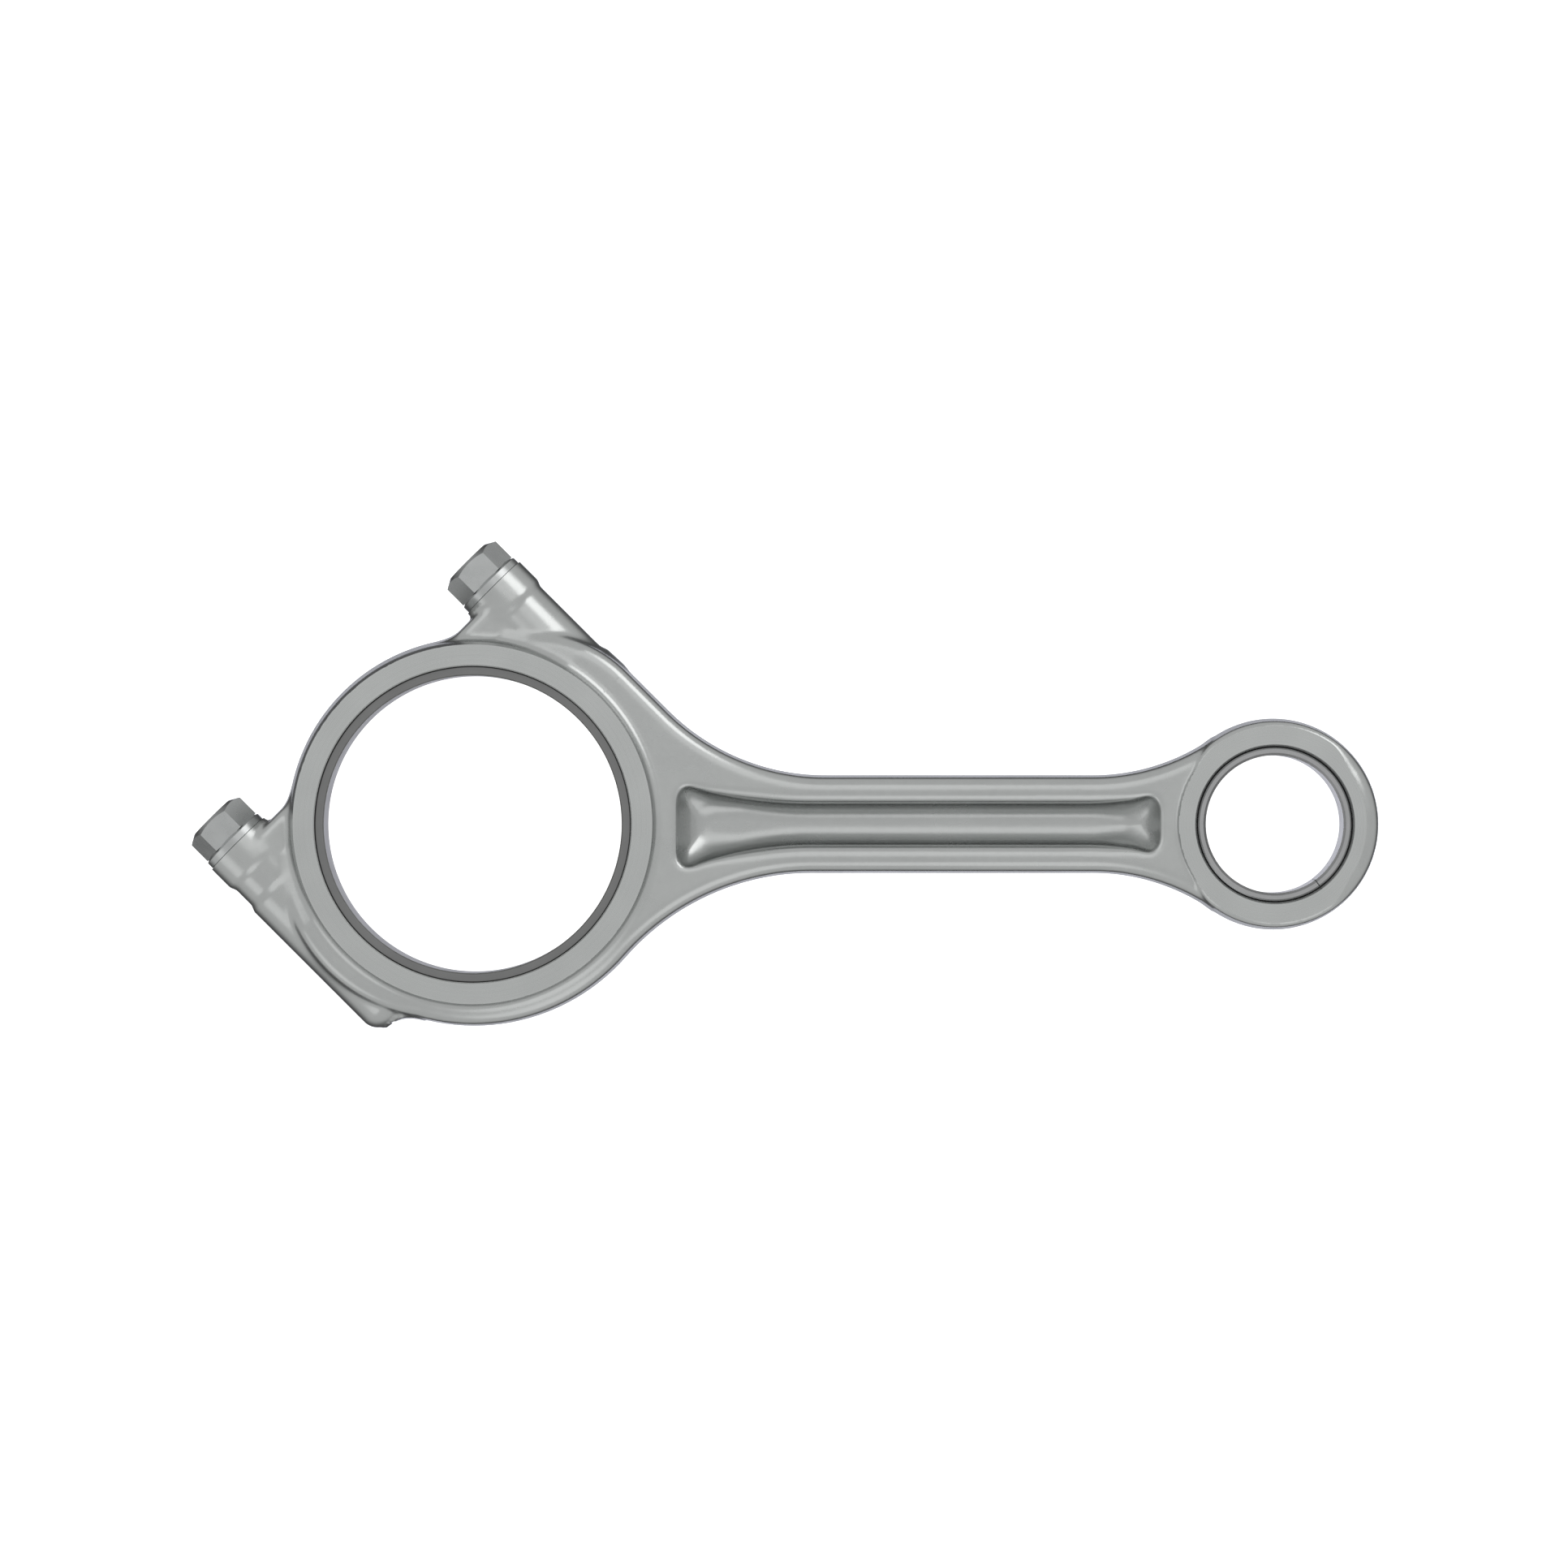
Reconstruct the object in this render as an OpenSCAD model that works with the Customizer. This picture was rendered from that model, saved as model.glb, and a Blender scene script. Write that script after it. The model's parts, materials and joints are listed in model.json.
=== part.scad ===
// Connecting rod for a heavy engine, with an obliquely split big end.
// The rod lies flat: both bores run along Z, the small end points to +X, and the origin is
// the centre of the big-end bore, halfway through the rod's width.

/* [Overall] */
// Distance between the centres of the two bores
centre_distance = 256; // [200:1:320]
// Angle between the rod's length and the cap bolts
split_angle = 45; // [40:1:50]

/* [Big end] */
// Bore of the bearing shells, which runs on the crankpin
crankpin_bore = 95; // [76:0.5:120]
// Wall of a bearing shell
shell_wall = 3; // [2:0.25:4]
// Width across the machined side faces
big_end_w = 38; // [30:0.5:48]
// Distance from a side face down to the edge of the bearing shells
shell_recess = 2; // [1:0.25:4]
// Wall from the housing bore to the rim of the side face
side_face_wall = 6.8; // [5:0.1:9]
// How much the wall behind the side face widens down to the mid-plane
side_face_draft = 2.2; // [0.5:0.1:3]
// Wall from the housing bore to the edge of the forged band
band_wall = 14.2; // [10:0.1:16]
// How far the forged band lies below the side face
band_step = 4; // [1.5:0.25:5]
// How far from the split the band starts to swell outwards
swell_start = 31; // [20:1:36]
// How far the band's swelling stays inside the outer side of the upper bolt lug
swell_inset_upper = 0.8; // [0.4:0.1:4]
// How far the band's swelling stays inside the outer side of the lower bolt lug
swell_inset_lower = 2.9; // [0.4:0.1:4]
// Chamfer at the mouths of the housing bore
housing_chamfer = 0.8; // [0.4:0.1:1.5]

/* [Bearing shell lugs] */
// Width of the locating lug on a shell
tang_w = 5; // [3:0.5:6]
// Length of the locating lug, away from the split
tang_length = 6; // [4:0.5:9]
// Height of the locating lug above the shell's back
tang_h = 1.2; // [0.8:0.1:1.6]
// Distance of the locating lug from the mid-plane
tang_offset = 10; // [9:0.5:12]
// Clearance round the locating lug
tang_clearance = 0.15; // [0.05:0.05:0.3]

/* [Cap and bolt lugs] */
// Distance from the bolt seats to the split
clamp_length = 49.1; // [40:0.1:56]
// Wall between the bolt hole and the housing bore
bolt_wall = 1.25; // [1:0.05:4]
// Margin of the seat round the bolt's flange
seat_margin = 0.5; // [0.2:0.1:2]
// Length of the thick collar under each seat
seat_collar = 7.7; // [5:0.1:12]
// How much thinner the lug is below that collar
waist_step = 0.8; // [0.3:0.1:1.5]
// Distance from the split at which the upper lug's waist ends
upper_waist_end = 12; // [8:0.5:20]
// Distance from the split at which the lower lug's waist ends
lower_waist_end = 32.5; // [26:0.5:34]
// Length over which a lug changes its thickness
waist_blend = 3; // [2:0.5:5]
// How far the web beside a seat lies below it
web_edge_drop = 1.9; // [1:0.1:4]
// Radius that joins the cap's web to its ring
web_fillet = 20; // [12:1:26]
// Distance from the split at which the band starts to slope down to the web
slope_start = 14.7; // [10:0.1:20]
// Distance from the split at which the band reaches the web
slope_end = 36; // [30:0.5:40]
// Wall beyond the end of the lower bolt's tapped hole
lug_floor = 3.1; // [2:0.1:8]
// Radius that joins the end of the lower lug to the big end
lug_fillet = 14; // [8:1:18]
// Radius at the end of the lower lug
lug_round = 5; // [3:0.5:6]

/* [Cap bolts] */
// Thread size of the cap bolts
bolt_d = 12; // [10:0.5:14]
// Length of thread that reaches past the split into the rod
thread_reach = 20.9; // [16:0.1:26]
// How much thinner than the thread the bolt's neck is, measured on the radius
neck_relief = 0.5; // [0.2:0.05:1.5]
// Width across the flats of the head
head_af = 19; // [16:0.5:24]
// Height of the hexagon
head_h = 8.7; // [6:0.1:12]
// Diameter of the flat on top of the hexagon
head_top_d = 15.8; // [12:0.1:18]
// Angle of the chamfer round the hexagon's top, in degrees
head_chamfer_angle = 30; // [15:1:45]
// How far the flange stands out beyond the flats
flange_overhang = 1.8; // [1:0.1:3]
// Thickness of the flange at its edge
flange_edge = 2.5; // [1.5:0.1:4]
// Height of the flange's sloping top
flange_slope = 0.7; // [0.3:0.1:1.5]
// Turn of the lower bolt's head about its axis, in degrees
lower_head_turn = 4; // [0:1:30]
// Radial clearance of a bolt in the cap
bolt_clearance = 0.25; // [0.15:0.05:0.6]
// Radial clearance between a bolt's thread and its tapped hole
thread_clearance = 0.1; // [0.05:0.01:0.1]
// Room beyond the bolt's tip in the tapped hole
tap_room = 2; // [1:0.5:4]
// Chamfer at the bolt's tip
tip_chamfer = 1; // [0.5:0.1:2]

/* [Small end] */
// Bore of the bush, which runs on the piston pin
pin_bore = 44; // [36:0.5:54]
// Wall of the bush
bush_wall = 2.5; // [1.5:0.1:4]
// Width across the small end
eye_w = 30; // [24:0.5:38]
// Distance from a face of the small end down to the edge of the bush
bush_recess = 1.5; // [0.5:0.1:3]
// Wall of the eye round the bush, at the mid-plane
eye_wall = 9.35; // [7:0.05:13]
// Rounding of the eye's edges
eye_round = 1.6; // [0.5:0.1:2.5]
// Chamfer at the mouths of the eye's bore
eye_chamfer = 1.1; // [0.4:0.1:2]
// Chamfer at the mouths of the bush
bush_chamfer = 0.8; // [0.3:0.1:1.2]
// Width of the butt joint in the rolled bush
seam_w = 0.25; // [0.15:0.05:0.6]
// Direction of the butt joint, in degrees from the rod's length
seam_angle = -54; // [-180:1:180]

/* [Shank] */
// Width of the shank
shank_w = 31.4; // [26:0.2:38]
// How far the shank's flanges lie below the small end's faces
flange_step = 1.2; // [0.5:0.1:3]
// Thickness of the web between the pockets
web_t = 7.5; // [5:0.25:12]
// Width of the pocket
pocket_w = 13.2; // [9:0.2:17]
// Land between the big end's side face and the pocket
land_big = 6.2; // [4:0.1:12]
// Land between the small end's eye and the pocket
land_small = 1.2; // [0.6:0.1:8]
// Radius of the corners at the pocket's ends
pocket_corner = 5; // [3:0.5:6]
// Length over which the pocket widens at the big end
flare_big = 44.5; // [30:0.5:60]
// How much the pocket widens towards the upper bolt
flare_upper = 6.9; // [3:0.1:9]
// How much the pocket widens on the other side
flare_lower = 9.2; // [4:0.1:11]
// Length over which the pocket widens at the small end
flare_small = 25; // [15:0.5:40]
// How much the pocket widens on each side at the small end
flare_eye = 3.4; // [1:0.1:5]
// Radius of the rod's upper side where it leaves the shank
sweep_upper = 71; // [50:1:90]
// Radius of the rod's lower side where it leaves the shank
sweep_lower = 79; // [50:1:100]
// Radius between the shank and the eye
sweep_eye = 67; // [40:1:90]

/* [Hidden] */
$fn = 96;

// Far enough to reach past the whole rod when a half of it is cut away
reach = 2 * (centre_distance + crankpin_bore);
// How far a cutter runs past the face it cuts
over = 1;
// How far a curve that joins a round end runs into it
sink = 0.3;
ARC_STEPS = 16;
// Steps back along a flared edge that give its direction at the pocket's corner
CORNER_STEPS = 4;
HEX_SIDES = 6;

housing_r = crankpin_bore / 2 + shell_wall;
side_face_r = housing_r + side_face_wall;
band_r = housing_r + band_wall;
big_h = big_end_w / 2;
band_h = big_h - band_step;
shell_h = big_h - shell_recess;

flange_r = head_af / 2 + flange_overhang;
seat_r = flange_r + seat_margin;
waist_r = seat_r - waist_step;
bolt_hole_r = bolt_d / 2 + bolt_clearance;
bolt_axis = housing_r + bolt_wall + bolt_hole_r;
lug_side = bolt_axis + seat_r;
neck_r = bolt_d / 2 - neck_relief;
bolt_length = clamp_length + thread_reach;
swell_upper = lug_side - swell_inset_upper;
swell_lower = lug_side - swell_inset_lower;
swell_v = sqrt(band_r * band_r - swell_start * swell_start);
swell_angle = acos(swell_start / band_r);
tap_depth = thread_reach + tap_room;
lug_end = tap_depth + lug_floor;

bush_r = pin_bore / 2 + bush_wall;
eye_r = bush_r + eye_wall;
eye_h = eye_w / 2;
bush_h = eye_h - bush_recess;
flange_h = eye_h - flange_step;

shank_h = shank_w / 2;
pocket_h = pocket_w / 2;
pocket_start = side_face_r + land_big;
pocket_end = centre_distance - eye_r - land_small;

// Points of an arc about c from angle a0 to angle a1
function arc(c, r, a0, a1) =
    [for (i = [0:ARC_STEPS]) let (a = a0 + (a1 - a0) * i / ARC_STEPS) c + r * [cos(a), sin(a)]];

// Distance along the shank from a round end's centre to the centre of the sweep that joins it
function sweep_x(end_r, sweep) = sqrt(pow(end_r + sweep, 2) - pow(shank_h + sweep, 2));

// Edge of the band's swelling, from the split at distance out to where it meets the plain band.
// X runs along the bolts and Y across them.
function swell_edge(out) =
    let (v = (out * out - band_r * band_r) / (2 * (out - swell_v)))
    concat([[-over, out]], arc([0, v], out - v, 90, atan2(swell_v - v, swell_start)));

// An edge that leaves the pocket's straight side at x0 and widens by rise at x1
function flare(x0, x1, rise, side) =
    let (r = (pow(x1 - x0, 2) + rise * rise) / (2 * rise))
    [for (i = [0:ARC_STEPS]) let (d = (x1 - x0) * i / ARC_STEPS)
        [x0 + d, side * (pocket_h + r - sqrt(r * r - d * d))]];

// The list backwards
function back(points) = [for (i = [len(points) - 1:-1:0]) points[i]];

// Points that round the corner b, met from a and left towards c
function corner(a, b, c, r) =
    let (p = (a - b) / norm(a - b), q = (c - b) / norm(c - b),
         half = acos(p * q) / 2,
         start = b + p * r / tan(half), centre = b + (p + q) / norm(p + q) * r / sin(half),
         a0 = atan2(start[1] - centre[1], start[0] - centre[0]),
         turn = (180 - 2 * half) * sign(p[0] * q[1] - p[1] * q[0]) * -1)
    arc(centre, r, a0, a0 + turn);

// Points of flare edge e whose distance from the pocket's end wall at x is over the corner
function clear_of(e, x) = [for (p = e) if (abs(p[0] - x) > 2 * pocket_corner) p];

// A point given along and across the bolts, as X and Y
function split_point(u, v) = [u * cos(split_angle) + v * sin(split_angle),
    v * cos(split_angle) - u * sin(split_angle)];

// Turns children so that their X runs along the bolts, away from the cap
module split_frame() { rotate([0, 0, -split_angle]) children(); }

// Puts children on a bolt's axis: Z runs away from the cap, and Z = 0 is the split
module on_bolt(side) {
    split_frame() translate([0, side * bolt_axis, 0]) rotate([0, 90, 0]) children();
}

// Everything on one side of the split: 1 for the rod's side, -1 for the cap's side
module half_space(side) {
    split_frame() translate([side * reach / 2, 0, 0]) cube(reach, center = true);
}

// Solid of revolution about Z that is the same above and below the mid-plane
module turned(upper) {
    rotate_extrude() polygon(concat(upper, [for (p = back(upper)) [p[0], -p[1]]]));
}

// Cutter for a bore through both faces, with a chamfer at each mouth
module bore_cutter(r, h, chamfer) {
    cylinder(r = r, h = 2 * (h + over), center = true);
    for (end = [0, 1]) mirror([0, 0, end]) translate([0, 0, h - chamfer])
        cylinder(r1 = r, r2 = r + chamfer + over, h = chamfer + over);
}

// The ring behind the machined side faces
module side_face_ring() {
    turned([[0, big_h], [side_face_r, big_h], [side_face_r + side_face_draft, 0]]);
}

// Plan of the forged band on the cap's side, in the split's frame
module cap_band_plan() {
    polygon(concat(
        [for (p = swell_edge(swell_upper)) [-p[0], p[1]]],
        arc([0, 0], band_r, 180 - swell_angle, 180 + swell_angle),
        [for (p = back(swell_edge(swell_lower))) [-p[0], -p[1]]]));
}

// Plan that fills the corner between a ring and a web that ends at edge
module web_plan(edge, ring_r, fillet) {
    v = sqrt(pow(ring_r - sink + fillet, 2) - pow(edge + fillet, 2));
    polygon(concat([[0, 0], [0, v]],
        arc([edge + fillet, v], fillet, 180, 180 + atan2(v, edge + fillet))));
}

// Plan of the rod's forging: the big end from the split, the shank and its sweep into the eye
module rod_plan() {
    up = [(lug_side + sweep_upper - (shank_h + sweep_upper) * cos(split_angle))
        / sin(split_angle), shank_h + sweep_upper];
    low = [sweep_x(band_r, sweep_lower), -shank_h - sweep_lower];
    eye_dx = sweep_x(eye_r - sink, sweep_eye);
    eye_x = centre_distance - eye_dx;
    eye_y = shank_h + sweep_eye;
    eye_turn = atan2(eye_y, eye_dx);
    polygon(concat([split_point(-over, 0), split_point(-over, lug_side)],
        arc(up, sweep_upper, 270 - split_angle, 270),
        arc([eye_x, eye_y], sweep_eye, 270, 360 - eye_turn),
        [[centre_distance, 0]],
        arc([eye_x, -eye_y], sweep_eye, eye_turn, 90),
        arc(low, sweep_lower, 90, atan2(-low[1], -low[0])),
        arc([0, 0], band_r, atan2(low[1], low[0]), -split_angle - swell_angle),
        [for (p = back(swell_edge(swell_lower))) split_point(p[0], -p[1])]));
}

// Half thickness of the forging along the rod, drawn from the side
module rod_side() {
    x1 = centre_distance - eye_r;
    polygon([[-reach, band_h], [side_face_r, band_h], [x1, flange_h], [reach, flange_h],
        [reach, -flange_h], [x1, -flange_h], [side_face_r, -band_h], [-reach, -band_h]]);
}

// Plan of the pocket in the shank
module pocket_plan() {
    xl = pocket_start;
    xr = pocket_end;
    ul = flare(xl + flare_big, xl, flare_upper, 1);
    ll = flare(xl + flare_big, xl, flare_lower, -1);
    ur = flare(xr - flare_small, xr, flare_eye, 1);
    lr = flare(xr - flare_small, xr, flare_eye, -1);
    n = ARC_STEPS;
    k = n - CORNER_STEPS;
    polygon(concat(
        clear_of(ll, xl), corner(ll[k], ll[n], ul[n], pocket_corner),
        corner(ll[n], ul[n], ul[k], pocket_corner), back(clear_of(ul, xl)),
        clear_of(ur, xr), corner(ur[k], ur[n], lr[n], pocket_corner),
        corner(ur[n], lr[n], lr[k], pocket_corner), back(clear_of(lr, xr))));
}

// Cutter for the two pockets that leave the web between them
module pockets() {
    for (face = [0, 1]) mirror([0, 0, face]) translate([0, 0, web_t / 2])
        linear_extrude(big_h) pocket_plan();
}

// Cutter for a shell's locating lug, or with no clearance the lug itself
module tang(side, z, clearance) {
    w = tang_w + 2 * clearance;
    split_frame()
        translate([side > 0 ? 0 : -tang_length - clearance, housing_r - shell_wall / 2, z - w / 2])
        cube([tang_length + clearance, shell_wall / 2 + tang_h + clearance, w]);
}

// Blind tapped hole in the rod for a cap bolt
module tapped_hole(side) {
    on_bolt(side) translate([0, 0, -over]) cylinder(d = bolt_d, h = tap_depth + over);
}

// The lower lug, which holds the lower bolt's thread
module threaded_lug() {
    on_bolt(-1) rotate_extrude() polygon(concat([[0, 0], [seat_r, 0]],
        arc([seat_r - lug_round, lug_end - lug_round], lug_round, 0, 90), [[0, lug_end]]));
    split_frame() mirror([0, 1, 0]) intersection() {
        linear_extrude(2 * waist_r, center = true)
            web_plan(lug_end, band_r, lug_fillet);
        translate([0, 0, -waist_r]) cube([reach, bolt_axis, 2 * waist_r]);
    }
}

// Forged rod with its shank, eye and half of the big end
module rod_body() {
    color([0.66, 0.67, 0.66]) difference() {
        intersection() {
            union() {
                intersection() {
                    linear_extrude(big_end_w, center = true) rod_plan();
                    rotate([90, 0, 0]) linear_extrude(reach, center = true) rod_side();
                }
                side_face_ring();
                threaded_lug();
                translate([centre_distance, 0, 0]) turned(concat([[0, eye_h]],
                    arc([eye_r - eye_round, eye_h - eye_round], eye_round, 90, 0)));
            }
            half_space(1);
        }
        bore_cutter(housing_r, big_h, housing_chamfer);
        translate([centre_distance, 0, 0]) bore_cutter(bush_r, eye_h, eye_chamfer);
        pockets();
        for (side = [-1, 1]) tapped_hole(side);
        tang(1, tang_offset, tang_clearance);
    }
}

// Round part of a cap lug, from the seat to the split
module cap_lug(side, waist_end) {
    on_bolt(side) mirror([0, 0, 1]) rotate_extrude() polygon([
        [0, 0], [seat_r, 0], [seat_r, waist_end - waist_blend], [waist_r, waist_end],
        [waist_r, clamp_length - seat_collar - waist_blend], [seat_r, clamp_length - seat_collar],
        [seat_r, clamp_length], [0, clamp_length]]);
}

// Web that joins a cap lug to the ring
module cap_web(side) {
    edge = clamp_length - web_edge_drop;
    split_frame() mirror([1, 0, 0]) mirror([0, side < 0 ? 1 : 0, 0]) {
        translate([0, 0, -waist_r]) cube([edge, bolt_axis, 2 * waist_r]);
        linear_extrude(2 * waist_r, center = true)
            web_plan(edge, side_face_r, web_fillet);
    }
}

// Forged band round the cap, which slopes down to the webs
module cap_band() {
    split_frame() intersection() {
        linear_extrude(2 * band_h, center = true) cap_band_plan();
        rotate([90, 0, 0]) linear_extrude(reach, center = true) polygon([
            [0, band_h], [-slope_start, band_h], [-slope_end, waist_r],
            [-slope_end, -waist_r], [-slope_start, -band_h], [0, -band_h]]);
    }
}

// Forged cap that closes the big end
module big_end_cap() {
    color([0.64, 0.65, 0.64]) difference() {
        intersection() {
            union() {
                side_face_ring();
                cap_band();
                cap_lug(1, upper_waist_end);
                cap_lug(-1, lower_waist_end);
                for (side = [-1, 1]) cap_web(side);
            }
            half_space(-1);
        }
        bore_cutter(housing_r, big_h, housing_chamfer);
        for (side = [-1, 1]) on_bolt(side) translate([0, 0, -clamp_length - over])
            cylinder(r = bolt_hole_r, h = clamp_length + 2 * over);
        tang(-1, -tang_offset, tang_clearance);
    }
}

// Half of the big-end bearing, with its locating lug
module bearing_shell(side) {
    color([0.42, 0.42, 0.43]) {
        intersection() {
            difference() {
                cylinder(r = housing_r, h = 2 * shell_h, center = true);
                cylinder(d = crankpin_bore, h = 2 * big_end_w, center = true);
            }
            half_space(side);
        }
        tang(side, side * tang_offset, 0);
    }
}

module bearing_shell_rod() { bearing_shell(1); }
module bearing_shell_cap() { bearing_shell(-1); }

// Rolled bush pressed into the eye, with its butt joint
module small_end_bush() {
    color([0.58, 0.58, 0.60]) translate([centre_distance, 0, 0]) difference() {
        cylinder(r = bush_r, h = 2 * bush_h, center = true);
        bore_cutter(pin_bore / 2, bush_h, bush_chamfer);
        rotate([0, 0, seam_angle]) translate([0, -seam_w / 2, -bush_h - over])
            cube([bush_r + over, seam_w, 2 * (bush_h + over)]);
    }
}

// Hexagon with one flat towards the rod's side face and a chamfered top
module bolt_hexagon() {
    corner_r = head_af / sqrt(3);
    top_r = head_top_d / 2;
    chamfer_h = (corner_r - top_r) * tan(head_chamfer_angle);
    intersection() {
        rotate([0, 0, 180 / HEX_SIDES]) cylinder(r = corner_r, h = head_h, $fn = HEX_SIDES);
        rotate_extrude() polygon([[0, 0], [corner_r + over, 0],
            [corner_r + over, head_h - chamfer_h - over * tan(head_chamfer_angle)],
            [top_r, head_h], [0, head_h]]);
    }
}

// Flanged cap bolt: its seat lies on Z = 0 and its shank runs to +Z
module cap_bolt(turn) {
    color([0.55, 0.56, 0.56]) {
        thread_r = bolt_d / 2 - thread_clearance;
        thread_start = clamp_length - over;
        rotate_extrude() polygon([
            [0, -flange_edge - flange_slope], [head_af / 2, -flange_edge - flange_slope],
            [flange_r, -flange_edge], [flange_r, 0],
            [neck_r, 0], [neck_r, thread_start - neck_relief],
            [thread_r, thread_start], [thread_r, bolt_length - tip_chamfer],
            [thread_r - tip_chamfer, bolt_length], [0, bolt_length]]);
        translate([0, 0, -flange_edge - flange_slope])
            mirror([0, 0, 1]) rotate([0, 0, turn]) bolt_hexagon();
    }
}

module cap_bolt_upper() { on_bolt(1) translate([0, 0, -clamp_length]) cap_bolt(0); }
module cap_bolt_lower() {
    on_bolt(-1) translate([0, 0, -clamp_length]) cap_bolt(lower_head_turn);
}

rod_body();
big_end_cap();
bearing_shell_rod();
bearing_shell_cap();
small_end_bush();
cap_bolt_upper();
cap_bolt_lower();
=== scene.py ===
"""Connecting rod with an obliquely split big end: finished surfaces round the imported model."""

import json
import math

import bmesh
import bpy
import numpy as np
from bpy.props import FloatProperty, FloatVectorProperty, PointerProperty
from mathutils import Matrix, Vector


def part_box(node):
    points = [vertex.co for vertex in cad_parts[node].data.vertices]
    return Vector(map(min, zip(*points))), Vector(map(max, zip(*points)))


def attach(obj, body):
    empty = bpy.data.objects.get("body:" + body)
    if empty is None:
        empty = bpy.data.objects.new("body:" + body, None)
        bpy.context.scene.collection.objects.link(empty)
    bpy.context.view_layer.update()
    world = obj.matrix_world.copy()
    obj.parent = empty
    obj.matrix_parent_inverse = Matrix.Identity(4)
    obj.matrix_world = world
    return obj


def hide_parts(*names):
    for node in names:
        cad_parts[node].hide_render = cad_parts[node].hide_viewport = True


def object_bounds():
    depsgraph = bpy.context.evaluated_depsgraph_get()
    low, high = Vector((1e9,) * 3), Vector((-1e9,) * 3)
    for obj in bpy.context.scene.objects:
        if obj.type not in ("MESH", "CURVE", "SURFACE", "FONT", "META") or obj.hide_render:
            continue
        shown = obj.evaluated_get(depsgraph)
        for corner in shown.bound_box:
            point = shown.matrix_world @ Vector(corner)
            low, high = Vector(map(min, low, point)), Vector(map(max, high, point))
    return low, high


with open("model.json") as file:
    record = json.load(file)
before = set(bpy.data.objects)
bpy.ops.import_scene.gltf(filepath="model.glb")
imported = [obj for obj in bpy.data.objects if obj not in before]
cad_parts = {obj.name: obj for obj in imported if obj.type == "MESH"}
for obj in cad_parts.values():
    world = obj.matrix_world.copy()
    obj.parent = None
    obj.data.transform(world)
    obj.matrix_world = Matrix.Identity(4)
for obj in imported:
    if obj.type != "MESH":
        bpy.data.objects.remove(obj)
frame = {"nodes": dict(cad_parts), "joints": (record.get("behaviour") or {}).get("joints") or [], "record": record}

bl_info = {
    "name": "Connecting rod finish",
    "version": (1, 0, 0),
    "blender": (4, 5, 0),
    "location": "3D View > Sidebar > Connecting rod",
    "description": "Forged, machined and threaded surfaces for a rod with an oblique split",
    "category": "Add Mesh",
}

MM = 0.001
CAD_BOX = [list(corner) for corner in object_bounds()]
JOINTS = {joint["name"]: joint for joint in frame["joints"]}
MOUNTS = {mount["name"]: mount for mount in frame["record"]["mounts"]}

# The split's own directions: ALONG the bolts towards the rod, and ACROSS them in the rod's plane
ALONG = -Vector(JOINTS["cap_lift"]["axis"]).normalized()
ACROSS = Vector((0, 0, 1)).cross(ALONG)
SPLIT_TURN = math.atan2(ALONG.y, ALONG.x)


def points_of(node):
    """The vertices of a CAD node, as rows of x, y and z."""
    vertices = frame["nodes"][node].data.vertices
    found = np.empty(3 * len(vertices))
    vertices.foreach_get("co", found)
    return found.reshape(-1, 3)


def span(node, direction):
    """How far a CAD node reaches along a direction: its lowest and highest place."""
    places = points_of(node) @ np.array(direction)
    return places.min(), places.max()


def bolt_rim():
    """Radius of a cap bolt's flange, and the place of its seat along the bolt."""
    points = points_of("cap_bolt_upper")
    off_axis = np.hypot(points @ np.array(ACROSS) - BOLT_AXIS, points[:, 2])
    rim = off_axis > off_axis.max() - 0.1 * MM
    return off_axis.max(), (points[rim] @ np.array(ALONG)).max()


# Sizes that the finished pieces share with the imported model
CENTRES = MOUNTS["small_end_bore"]["pos_m"][0]
CRANKPIN_R = MOUNTS["big_end_bore"]["dims"]["r_mm"] * MM
PIN_R = MOUNTS["small_end_bore"]["dims"]["r_mm"] * MM
BIG_H = MOUNTS["big_end_upper_face"]["pos_m"][2]
EYE_H = MOUNTS["small_end_upper_face"]["pos_m"][2]
HOUSING_R = span("bearing_shell_rod", ALONG)[1]
SHELL_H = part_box("bearing_shell_rod")[1].z
BUSH_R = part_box("small_end_bush")[1].y
BUSH_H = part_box("small_end_bush")[1].z
EYE_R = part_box("rod_body")[1].x - CENTRES
BOLT_AXIS = sum(span("cap_bolt_upper", ACROSS)) / 2
LUG_SIDE = span("big_end_cap", ACROSS)[1]
SEAT_R = LUG_SIDE - BOLT_AXIS
HEAD_TOP, BOLT_TIP = span("cap_bolt_upper", ALONG)
FLANGE_R, SEAT = bolt_rim()


# ---------------------------------------------------------------- sizes and finishes


def length(name, description, mm):
    """A size that is kept in metres."""
    return FloatProperty(name=name, description=description, default=mm * MM, unit="LENGTH")


def colour(name, description, default):
    """A base colour."""
    return FloatVectorProperty(name=name, description=description, default=default,
                               subtype="COLOR", min=0, max=1)


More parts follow.
